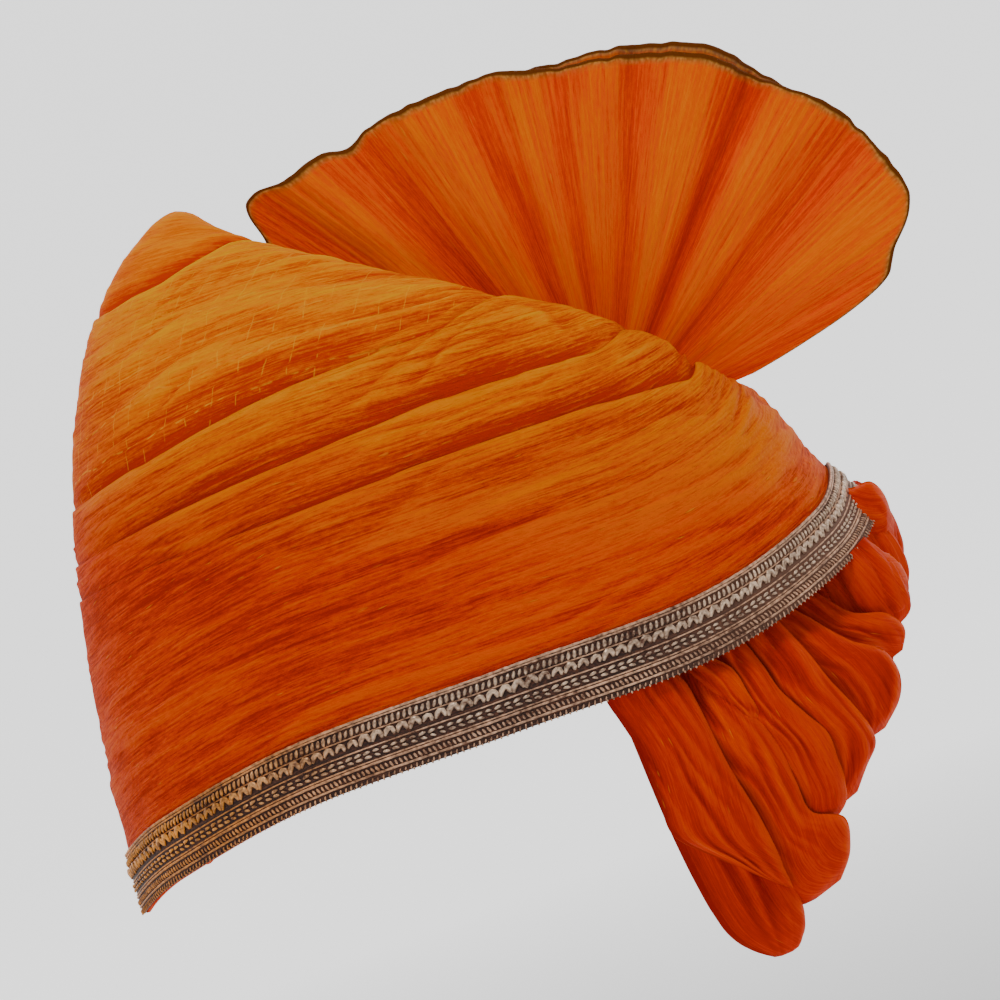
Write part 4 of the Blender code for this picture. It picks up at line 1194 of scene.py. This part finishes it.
def make_tail_fold(sizes, name, material):
    """One soft fold of the tail: rings round its line, creased by pleats that twist along it."""
    rows = [dict(zip(TAIL_COLUMNS, row)) for row in TAIL_FOLDS[name]]
    pleats = dict(zip(PLEAT_COLUMNS, TAIL_PLEATS[name]))
    places = np.arange(len(rows), dtype=float)
    fine = np.linspace(0, len(rows) - 1, FOLD_LINES)
    centres = np.stack([
        through(list(zip(places, [row["across"] * sizes.rim_width for row in rows])), fine),
        through(list(zip(places, [row["along"] * sizes.rim_length for row in rows])), fine),
        through(list(zip(places, [-row["drop"] * sizes.tail_drop for row in rows])), fine)], -1)
    wide_size = through(list(zip(places, [row["half_width"] for row in rows])), fine) * sizes.fold_width
    deep_size = through(list(zip(places, [row["half_depth"] for row in rows])), fine) * sizes.fold_width
    forward = np.gradient(centres, axis=0)
    forward /= np.linalg.norm(forward, axis=1, keepdims=True)
    angles = math.tau * np.arange(FOLD_SIDES) / FOLD_SIDES
    grid, shades = [], []
    for step in range(FOLD_LINES):
        share = step / (FOLD_LINES - 1)
        wide = np.cross(forward[step], rim_out(sizes, centres[step]))
        wide /= np.linalg.norm(wide)
        deep = np.cross(wide, forward[step])
        close = math.sqrt(max(0.0, 1 - max(0.0, (share - 0.93) / 0.07) ** 2)) if share > 0.93 else 1
        phase = angles * pleats["count"] + math.radians(pleats["twist"]) * share * pleats["count"] / 2
        phase = phase + 1.1 * ripple(np.full(FOLD_SIDES, share * 0.5), angles / math.tau, 8, 3,
                                     pleats["seed"])
        crease = 1 - np.abs(np.sin(phase / 2)) ** 0.6
        second = 1 - np.abs(np.sin(phase * 1.5 + 1.7 + 2 * share)) ** 0.8
        fade = float(smooth((1 - share) * 4)) * (0.75 + 0.25 * math.cos(share * 2))
        small = ripple(angles / math.tau, np.full(FOLD_SIDES, share), 28, 4, pleats["seed"] + 1) * 0.00025
        lift = -pleats["depth"] * ((crease - 0.3) + 0.30 * (second - 0.3)) * fade + small
        crease = 0.72 * crease + 0.28 * second
        wide_now, deep_now = wide_size[step] * close, deep_size[step] * close
        ring = (centres[step] + wide * ((wide_now + lift) * np.cos(angles))[:, None]
                + deep * ((deep_now + lift) * np.sin(angles))[:, None])
        grid.append(ring)
        # Painted shading: painted shade in the creases and near the root under the band, and more of it
        # towards the tip.
        shades.append(0.40 * (crease - 0.35) * fade + 0.30 * (1 - smooth(share * 7)) + 0.14 * (share - 0.4))
    grid, shades = np.array(grid), np.array(shades)
    lengths = np.concatenate(((0,), np.cumsum(np.linalg.norm(np.diff(centres, axis=0), axis=1))))
    across = np.repeat((angles * sizes.fold_width * 0.5)[None], FOLD_LINES, 0)
    mesh = loft_mesh("tail_" + name, grid, np.append(lengths, lengths[-1]), across, False, shades)
    fix_normals(mesh)
    return add_piece("tail_" + name, mesh, material)


def make_tail_gather(sizes, material):
    """The strip that joins the tail's folds: pleated cloth that hangs from behind the rim round the nape."""
    wall = Wall(sizes)
    turns = np.linspace(GATHER_DROPS[0][0], GATHER_DROPS[-1][0], GATHER_LINES)
    share = np.linspace(0, 1, GATHER_LINES)
    wander = 1.3 * ripple(share * 0.9, share * 0, 14, 2, 131)
    drops = through(GATHER_DROPS, turns)
    insets = through(GATHER_INSETS, turns)
    rows, back_rows = 44, 14
    grid, shades = [], []
    for place, turn in enumerate(turns):
        rim = wall.rim((turn + 180) % 360 - 180)
        way = rim_out(sizes, rim)
        phase = GATHER_PLEATS * share[place] + wander[place]
        lobe = float(pleat_ridge(phase))
        top = rim[2] + 0.006
        low = -sizes.tail_drop * (drops[place] + 0.09 * (lobe - 0.5))
        low = min(low, rim[2] - 0.004)
        loops = []
        for count, sign in ((rows, 1), (back_rows, -1)):
            down = np.linspace(0, 1, count) if sign > 0 else np.linspace(1, 0, count)
            ridge = pleat_ridge(phase + 0.5 * np.sin(down * 2.2 + turn / 17) + 0.25 * down)
            small = pleat_ridge(2.7 * phase + 1.2 * down)
            grow = 0.35 + 0.65 * smooth(down * 1.6)
            out = GATHER_DEPTH * (ridge - 0.5) * grow + 0.0007 * (small - 0.5) * grow
            out += 0.0035 * np.sin(np.pi * np.clip(down, 0, 1)) - 0.003 * down ** 3
            out -= (1 - sign) / 2 * GATHER_WALL
            heights = top + (low - top) * down
            points = rim + way * (out - insets[place])[:, None]
            points[:, 2] = heights
            loops.append(points)
            if sign > 0:
                # Painted shading: painted shade in the pleats' hollows and near the top, where the strip
                # hangs from behind the rim.
                shade = 0.55 * (0.5 - ridge) * grow + 0.22 * (0.5 - small) + 0.30 * (1 - smooth(down * 3))
                shades.append(np.concatenate((shade + 0.10, np.full(back_rows, 0.3))))
        grid.append(np.concatenate(loops))
    grid, shades = np.array(grid), np.array(shades)
    lengths = np.linspace(0, 0.26, GATHER_LINES)
    along = np.repeat(np.concatenate((np.linspace(0, 0.05, rows), np.linspace(0.05, 0, back_rows)))[None],
                      GATHER_LINES, 0)
    mesh = loft_mesh("tail_gather", grid, np.append(lengths, lengths[-1]) * 0, along, False, shades)
    corners = np.zeros(len(mesh.loops), int)
    mesh.loops.foreach_get("vertex_index", corners)
    across = np.repeat(lengths[:, None], rows + back_rows, 1)
    places = np.stack((along.reshape(-1)[corners], across.reshape(-1)[corners]), -1).reshape(-1)
    mesh.uv_layers["cloth"].data.foreach_set("uv", places)
    fix_normals(mesh)
    return add_piece("tail_gather", mesh, material)


def pleat_ridge(phase):
    """A pleat's section: a slow rise, a crest and a quick fall, from 0 to 1."""
    cycle = phase - np.floor(phase)
    return smooth(cycle / 0.72) * smooth((1 - cycle) / 0.28)


def make_tail_leaf(sizes, name, material):
    """One flat fold of the tail, domed towards the side, with sharp edges and pleats that slant along it."""
    source, reach = FAR_LEAVES.get(name, (name, 1.0))
    way_out = -1 if name in FAR_LEAVES else 1
    rows = [dict(zip(LEAF_COLUMNS, row)) for row in TAIL_LEAVES[source]]
    for side in ("first_drop", "last_drop"):
        root_drop = rows[0][side]
        for row in rows:
            row[side] = root_drop + (row[side] - root_drop) * reach
    pleats = dict(zip(LEAF_PLEAT_COLUMNS, LEAF_PLEATS[source]))
    sides = []
    for side in ("first", "last"):
        sides.append(np.array([(way_out * row["across"] * sizes.rim_width,
                                row[side + "_along"] * sizes.rim_length,
                                -row[side + "_drop"] * sizes.tail_drop) for row in rows]))
    middle = (sides[0] + sides[1]) / 2
    way = middle[0] - middle[2]
    root = way / np.linalg.norm(way) * LEAF_ROOT - np.array((0.004 * way_out, 0, 0))
    sides = [np.vstack((0.8 * side[:1] + 0.2 * middle[:1] + root, side)) for side in sides]
    middle = (sides[0] + sides[1]) / 2
    places = np.concatenate(((0,), np.cumsum(np.linalg.norm(np.diff(middle, axis=0), axis=1))))
    fine = np.linspace(0, places[-1], LEAF_LINES)
    first, last = [np.stack([through(list(zip(places, side[:, axis])), fine) for axis in range(3)], -1)
                   for side in sides]
    down = (fine / places[-1])[:, None]
    width = np.linalg.norm(last - first, axis=1)[:, None]
    tip = np.sqrt(np.clip(1 - np.clip((down - 0.86) / 0.14, 0, 1) ** 2, 0.03, 1))
    thick = np.minimum(LEAF_DOME, 0.40 * width) * tip
    grids, shades = [], []
    for count, sign in ((LEAF_FRONT, 1), (LEAF_BACK, -0.7)):
        across = np.linspace(0, 1, count)[None, :]
        if sign < 0:
            across = across[:, ::-1]
        dome = np.clip(np.sin(np.pi * across ** 1.35), 0, 1) ** 0.62
        seed = pleats["seed"]
        wander = 0.8 * ripple(down * 0.25 + across * 0, across + down * 0, 12, 3, seed)
        ridge = pleat_ridge(pleats["count"] * across + pleats["slant"] * down + wander)
        second = pleat_ridge(pleats["count"] * 2.7 * across + pleats["slant"] * 2.1 * down - 1.7 * wander)
        edges = smooth(across * 7) * smooth((1 - across) * 7) * (0.25 + 0.75 * smooth((1 - down) * 5))
        small = 0.00025 * ripple(down * 0.4 + across * 0, across + down * 0, 40, 16, seed + 40)
        patches = ripple(down * 0.25 + across * 0, across + down * 0, 14, 4, seed + 70)
        uneven = 0.35 + 0.65 * smooth(0.5 + patches)
        relief = pleats["depth"] * (ridge - 0.5 + 0.22 * (second - 0.5)) * edges * uneven + small * tip
        points = first[:, None] + (last - first)[:, None] * across[..., None]
        points[..., 0] += way_out * (sign * thick * dome + relief * (1 if sign > 0 else 0))
        grids.append(points)
        # Painted shading: painted shade in the pleats' hollows, along the edge that lies under the next fold
        # and near the root under the rim, a painted highlight along the other edge, and the fold's own
        # offset.
        crease = ((0.5 - ridge) * 0.55 + (0.5 - second) * 0.14) * uneven
        tucked = 0.55 * np.exp(-across / 0.09) - 0.34 * np.exp(-((1 - across) / 0.07) ** 2)
        shade = crease * edges + tucked + 0.30 * np.exp(-fine[:, None] / 0.016) + pleats["tone"]
        shades.append(shade if sign > 0 else shade * 0 + 0.3)
    grid, shade = np.concatenate(grids, axis=1), np.concatenate(shades, axis=1)
    around = np.linspace(0, 1, grid.shape[1])[None, :] * width * 2
    mesh = loft_mesh("tail_" + name, grid, np.append(fine, fine[-1]), around, False, shade)
    fix_normals(mesh)
    return add_piece("tail_" + name, mesh, material)


def settings(context):
    return context.scene.turban


class MESH_OT_turban_wraps(bpy.types.Operator):
    """Wind the five wraps of crinkled cloth round the rim"""
    bl_idname = "mesh.turban_wraps"
    bl_label = "Wraps"

    def execute(self, context):
        sizes = settings(context)
        wall = Wall(sizes)
        low, high = tones(sizes, "low"), tones(sizes, "high")
        lower = cloth_material("lower_cloth", low, high, broad=1.0, fine=1.2, relief=0.0009)
        upper = cloth_material("upper_cloth", low, high, broad=0.6, fine=0.9, slubs=0.7, relief=0.0006,
                               checks=0.45)
        middle = cloth_material("middle_cloth", low, high, broad=0.9, fine=1.1, slubs=0.8, relief=0.0008)
        peak = cloth_material("peak_cloth", low, high, broad=0.5, fine=0.5, slubs=0.3)
        pieces = [make_wrap(wall, index, material)
                  for index, material in enumerate((lower, middle, middle, upper, peak))]
        return {"FINISHED"}


class MESH_OT_turban_lining(bpy.types.Operator):
    """Lay the wound turns inside the rim and the cloth that closes the mouth"""
    bl_idname = "mesh.turban_lining"
    bl_label = "Inner cloth"

    def execute(self, context):
        sizes = settings(context)
        wall = Wall(sizes)
        inner = cloth_material("inner_cloth", tones(sizes, "low"), broad=1.0, fine=1.0)
        turns = np.linspace(-180, 180, 300, endpoint=False)
        grid = []
        out = -sizes.cloth_wall - UNDER_GAP
        for turn in turns:
            foot, top = wall.off([turn], [[sizes.lace_width / 2, sizes.lace_width]], [[out, out]])[0]
            hollow_low, hollow_top = hollow_point(turn, foot[2]), hollow_point(turn, top[2])
            line = [hollow_top, top, foot]
            for step in range(1, 28):
                share = step / 28
                roll = abs(math.sin(share * math.pi * 4 + math.radians(turn))) * 0.0018
                line.append(foot + (hollow_low - foot) * share - np.array((0, 0, roll)))
            line.append(hollow_low)
            grid.append(line)
        grid = np.array(grid)
        u = np.radians(np.append(turns, 180)) * (wall.length + wall.width) / 4
        v = np.repeat((np.arange(grid.shape[1]) * 0.0012)[None], len(turns), 0)
        # A little painted shade over all the turns inside the rim.
        mesh = loft_mesh("wound_turns", grid, u, v, True, np.full(grid.shape[:2], 0.1))
        fix_normals(mesh)
        ring = add_piece("wound_turns", mesh, inner)
        seat(ring, "inner_cloth", "inner_turns")
        self.close_mouth(sizes, wall)
        return {"FINISHED"}

    def close_mouth(self, sizes, wall):
        """The cloth inside the mouth, gathered towards the fan's root."""
        material = cloth_material("crown_cloth", tones(sizes, "low"), tones(sizes, "high"), broad=1.0,
                                  fine=0.9)
        lines, rows = 150, 96
        low_turn, high_turn = 15, 168
        shares = 1 - 2 * np.arange(rows + 1) / rows
        top, shades = [], []
        for step in range(lines):
            turn = low_turn + (high_turn - low_turn) * step / (lines - 1)
            ends = []
            for side in (-1, 1):
                height = wall.lip(side * turn)[2] - wall.height * station("top_sink", side * turn)
                run = wall.run_at_height(side * turn, height)
                ends.append(wall.off([side * turn], [[run]], [[-0.0062]])[0, 0])
            right, left = ends
            valley = wall.height * station("valley_up", turn)
            points = right + (left - right) * ((shares + 1) / 2)[:, None]
            edge = np.where(shares > 0, left[2], right[2])
            fold = 0.0012 * np.sin(shares * 3 * math.pi) * (1 - shares ** 2)
            fine = 0.0006 * ripple(np.full(rows + 1, step / lines / 3), (shares + 1) / 2, 24, 22, 81)
            fine = fine + 0.0007 * ripple(np.full(rows + 1, step / lines / 3), (shares + 1) / 2, 60, 9, 82)
            fine = fine * (1 - shares ** 2)
            points[:, 2] = valley + (edge - valley) * np.abs(shares) ** 2.2 + fold + fine
            top.append(points)
            # Painted shading: painted shade in the creases, painted highlight on their crests, and more
            # painted shade towards the lips at both sides.
            shades.append(painted_shading_of(fine + fold * 0.5, 0.0012, 0.25 * np.abs(shares) ** 3))
        top, shades = np.array(top), np.array(shades)
        under = top - np.array((0, 0, 0.0013))
        grid = np.concatenate((top, under[:, ::-4]), axis=1)
        spare = shades[:, ::-4]
        v = np.concatenate((np.repeat(shares[None] * 0.07, lines, 0),
                            np.repeat(shares[::-4][None] * 0.07, lines, 0)), axis=1)
        mesh = loft_mesh("mouth_cloth", grid, np.linspace(0, 0.16, lines + 1), v, False,
                         np.concatenate((shades, spare), axis=1))
        fix_normals(mesh)
        piece = add_piece("mouth_cloth", mesh, material)
        seat(piece, "crown_cloth", "crown_top")


class MESH_OT_turban_lace(bpy.types.Operator):
    """Sew the metallic lace band along the rim"""
    bl_idname = "mesh.turban_lace"
    bl_label = "Lace band"

    def execute(self, context):
        sizes = settings(context)
        wall = Wall(sizes)
        ground = net_material("lace_ground", sizes.lace_ground)
        bright = thread_material("lace_thread", sizes.thread_silver, sizes.thread_gold)
        rail = thread_material("lace_rail", (0.96, 0.56, 0.34), (0.96, 0.34, 0.045), metallic=0.15,
                               roughness=0.5)
        band = self.make_ground(wall, ground)
        cords = self.make_cords(wall, rail)
        threads = self.make_threads(wall, bright, rail)
        for piece in (cords, threads):
            seat(piece, "metallic_lace")
        seat(band, "metallic_lace", "lace_band")
        return {"FINISHED"}

    def make_ground(self, wall, material):
        width = wall.sizes.lace_width
        turns = np.linspace(-180, 180, 420, endpoint=False)
        outer = np.linspace(0.0, width, 12)
        low, high = LACE_OUT, LACE_OUT + LACE_BASE
        runs = np.concatenate((outer, outer[::-1]))
        outs = np.concatenate((np.full(12, high), np.full(12, low)))
        runs, outs = np.repeat(runs[None], len(turns), 0), np.repeat(outs[None], len(turns), 0)
        grid = wall.off(turns, runs, outs)
        u = np.radians(np.append(turns, 180)) * (wall.length + wall.width) / 4
        mesh = loft_mesh("lace_ground", grid, u, runs, True)
        return add_piece("lace_ground", mesh, material)

    def make_cords(self, wall, material):
        meshes = []
        for place, (share, radius) in enumerate(zip(CORD_SHARES, CORD_RADII)):
            points, ways = lace_line(wall, share, LACE_OUT + LACE_BASE + radius * 0.45, 540)
            grid = ring_tube(points, ways, radius, 6, 180, 40 + place)
            spots = np.linspace(0, 0.715, len(points) + 1)
            around = np.repeat((np.arange(6) * radius)[None], len(points), 0)
            mesh = loft_mesh(f"cord_{place}", grid, spots, around, True)
            mesh.materials.append(material)
            meshes.append(mesh)
        joined = join_meshes("lace_cords", meshes)
        fix_normals(joined)
        return add_piece("lace_cords", joined)

    def make_threads(self, wall, bright, rail):
        shapes = {
            "bar": ((0, -0.5, 0), (0, -0.2, 0.10), (0, 0.2, 0.10), (0, 0.5, 0)),
            "hook": ((-0.36, -0.36, 0), (-0.30, 0.02, 0.06), (-0.12, 0.30, 0.10), (0.14, 0.32, 0.10),
                     (0.30, 0.12, 0.06), (0.34, -0.10, 0)),
            "dash": ((-0.5, 0, 0), (-0.2, 0.04, 0.12), (0.2, 0.02, 0.12), (0.5, -0.04, 0)),
            "nub": ((0, -0.5, 0), (0, 0, 0.1), (0, 0.5, 0)),
        }
        thick = {"bar": 0.24, "hook": 0.21, "dash": 0.22, "nub": 0.45}
        meshes = []
        for values in LACE_ROWS:
            row = dict(zip(ROW_COLUMNS, values))
            kind, scale = row["kind"], row["scale"]
            points = [(x * scale, y * scale, z * scale) for x, y, z in shapes[kind]]
            thread = thread_shape("thread_" + kind, points, thick[kind] * scale)
            line, ways = lace_line(wall, row["share"], LACE_OUT + LACE_BASE + 0.0002)
            material = rail if row["share"] < 0.2 else bright
            meshes.append(string_along("lace_" + kind, line, ways, thread, row["spacing"], row["tilt"], 0.16,
                                       row["seed"], material))
            bpy.data.objects.remove(thread, do_unlink=True)
        return add_piece("lace_threads", join_meshes("lace_threads", meshes))


class MESH_OT_turban_fan(bpy.types.Operator):
    """Stand the two leaves of the pleated fan in the mouth"""
    bl_idname = "mesh.turban_fan"
    bl_label = "Fan"

    def execute(self, context):
        sizes = settings(context)
        centre = (-0.005, 0.229 * sizes.rim_length, 0.392 * sizes.crown_height)
        fan_tones = tones(sizes, "fan")
        hem = (0.34, 0.13, 0.03)
        front = cloth_material("fan_cloth", fan_tones, broad=0.7, fine=0.7, slubs=0.8, relief=0.0003, hem=hem)
        back = cloth_material("fan_back_cloth", fan_tones, broad=0.7, fine=0.7, slubs=0.8, relief=0.0003,
                              hem=(0.32, 0.15, 0.06))
        leaf = make_fan_leaf(sizes, "fan_front_leaf", "fan_front", "fan_cloth", centre, 2.8, 132, 0, (),
                             front)
        other = make_fan_leaf(sizes, "fan_back_leaf", "fan_back", "fan_back_cloth", centre, 8, 127, 0.003,
                              BACK_EDGE, back)
        return {"FINISHED"}


class MESH_OT_turban_tail(bpy.types.Operator):
    """Hang the gathered folds of the tail from behind the rim at the nape"""
    bl_idname = "mesh.turban_tail"
    bl_label = "Gathered tail"

    def execute(self, context):
        sizes = settings(context)
        material = cloth_material("tail_cloth", tones(sizes, "tail"), broad=0.6, fine=0.45, slubs=0.7,
                                  relief=0.00018, sheen=0.15, roughness=0.5)
        pieces = [make_tail_gather(sizes, material)]
        pieces += [make_tail_fold(sizes, name, material) for name in TAIL_FOLDS]
        pieces += [make_tail_leaf(sizes, name, material) for name in (*TAIL_LEAVES, *FAR_LEAVES)]
        for piece in pieces:
            seat(piece, "tail_cloth", "gathered_tail")
        return {"FINISHED"}


class MESH_OT_turban_stage(bpy.types.Operator):
    """Set the pale floor, the soft lights and the camera at the photograph's angle"""
    bl_idname = "mesh.turban_stage"
    bl_label = "Stage"

    def execute(self, context):
        self.make_sweep()
        for name, place, size, power in (
            ("key_light", (0.90, 0.05, 1.75), 0.6, 17), ("side_light", (1.9, 1.1, 0.5), 1.0, 0.6),
            ("front_light", (1.6, -1.3, 0.7), 1.0, 1.9),
        ):
            light = bpy.data.lights.new(name, "AREA")
            light.size = size
            light.energy = power
            obj = bpy.data.objects.new(name, light)
            obj.location = place
            obj.rotation_euler = (Vector((0, 0.02, 0.05)) - Vector(place)).to_track_quat("-Z", "Y").to_euler()
            context.scene.collection.objects.link(obj)
        world = bpy.data.worlds.new("studio")
        world.use_nodes = True
        world.node_tree.nodes["Background"].inputs["Color"].default_value = (1.0, 0.985, 0.96, 1)
        world.node_tree.nodes["Background"].inputs["Strength"].default_value = 0.10
        context.scene.world = world
        self.make_camera(context)
        return {"FINISHED"}

    def make_sweep(self):
        """A pale round floor that curves up into a far wall on every side and glows as painted light,
        strongest far behind the turban, less on the floor and dimmest behind the camera.
        """
        profile = [(0.0, -0.36), (2.0, -0.36), (4.0, -0.36), (5.5, -0.36)]
        for step in range(1, 13):
            angle = math.radians(90) * step / 12
            profile.append((5.5 + 2.5 * math.sin(angle), 2.14 - 2.5 * math.cos(angle)))
        profile.append((8.0, 9.0))
        shape = bmesh.new()
        rings = []
        for reach, height in profile[1:]:
            rings.append([shape.verts.new((reach * math.cos(angle), reach * math.sin(angle), height))
                          for angle in (math.tau * step / SWEEP_SIDES for step in range(SWEEP_SIDES))])
        middle = shape.verts.new((0, 0, profile[0][1]))
        for low in range(SWEEP_SIDES):
            high = (low + 1) % SWEEP_SIDES
            shape.faces.new((middle, rings[0][low], rings[0][high]))
            for first, last in zip(rings, rings[1:]):
                shape.faces.new((first[low], last[low], last[high], first[high]))
        mesh = bpy.data.meshes.new("sweep")
        shape.to_mesh(mesh)
        shape.free()
        mesh.shade_smooth()
        material, shader, net = blank_material("pale_sweep", 0.9)
        place = net.add("ShaderNodeSeparateXYZ", {0: net.add("ShaderNodeTexCoord").outputs["Object"]}).outputs
        low = net.math("MULTIPLY", net.span(place["Z"], 0.4, -0.3), 0.45)
        glow = net.math("MAXIMUM", net.span(place["X"], 0.0, -4.0), low)
        strength = net.math("ADD", net.math("MULTIPLY", glow, 1.46), 0.07)
        net.tree.links.new(strength, shader.inputs["Emission Strength"])
        shader.inputs["Base Color"].default_value = (0.25, 0.25, 0.25, 1)
        shader.inputs["Emission Color"].default_value = (1, 1, 1, 1)
        sweep = add_piece("sweep", mesh, material)

    def make_camera(self, context):
        """The photograph's view: from the wearer's left, a little above, rolled 20 degrees."""
        camera = bpy.data.cameras.new("camera")
        camera.lens = 250
        camera.sensor_width = 36
        camera.shift_x = 0.020
        camera.shift_y = 0.100
        eye = bpy.data.objects.new("camera", camera)
        pivot = Vector((0, 0.0025, 0.0355))
        distance = 250 * 0.300 / 36
        rise = math.radians(2)
        eye_place = pivot + distance * Vector((math.cos(rise), 0, math.sin(rise)))
        turn = (eye_place - pivot).to_track_quat("Z", "Y").to_matrix().to_4x4()
        eye.matrix_world = Matrix.Translation(eye_place) @ turn @ Matrix.Rotation(math.radians(-20), 4, "Z")
        context.scene.collection.objects.link(eye)
        context.scene.camera = eye


class VIEW3D_PT_turban(bpy.types.Panel):
    """Sizes, colours and pieces of the turban"""
    bl_idname = "VIEW3D_PT_turban"
    bl_label = "Tied turban"
    bl_space_type = "VIEW_3D"
    bl_region_type = "UI"
    bl_category = "Turban"

    def draw(self, context):
        layout = self.layout
        for name in TurbanSettings.__annotations__:
            layout.prop(context.scene.turban, name)
        for operator in OPERATORS:
            layout.operator(operator.bl_idname)


OPERATORS = (MESH_OT_turban_stage, MESH_OT_turban_lining, MESH_OT_turban_wraps, MESH_OT_turban_lace,
             MESH_OT_turban_fan, MESH_OT_turban_tail)
CLASSES = (TurbanSettings, *OPERATORS, VIEW3D_PT_turban)


def register():
    for cls in CLASSES:
        bpy.utils.register_class(cls)
    bpy.types.Scene.turban = bpy.props.PointerProperty(type=TurbanSettings)


def unregister():
    del bpy.types.Scene.turban
    for cls in reversed(CLASSES):
        bpy.utils.unregister_class(cls)


def main():
    register()
    bpy.ops.mesh.turban_stage()
    bpy.ops.mesh.turban_lining()
    bpy.ops.mesh.turban_wraps()
    bpy.ops.mesh.turban_lace()
    bpy.ops.mesh.turban_fan()
    bpy.ops.mesh.turban_tail()


if __name__ == "__main__":
    main()
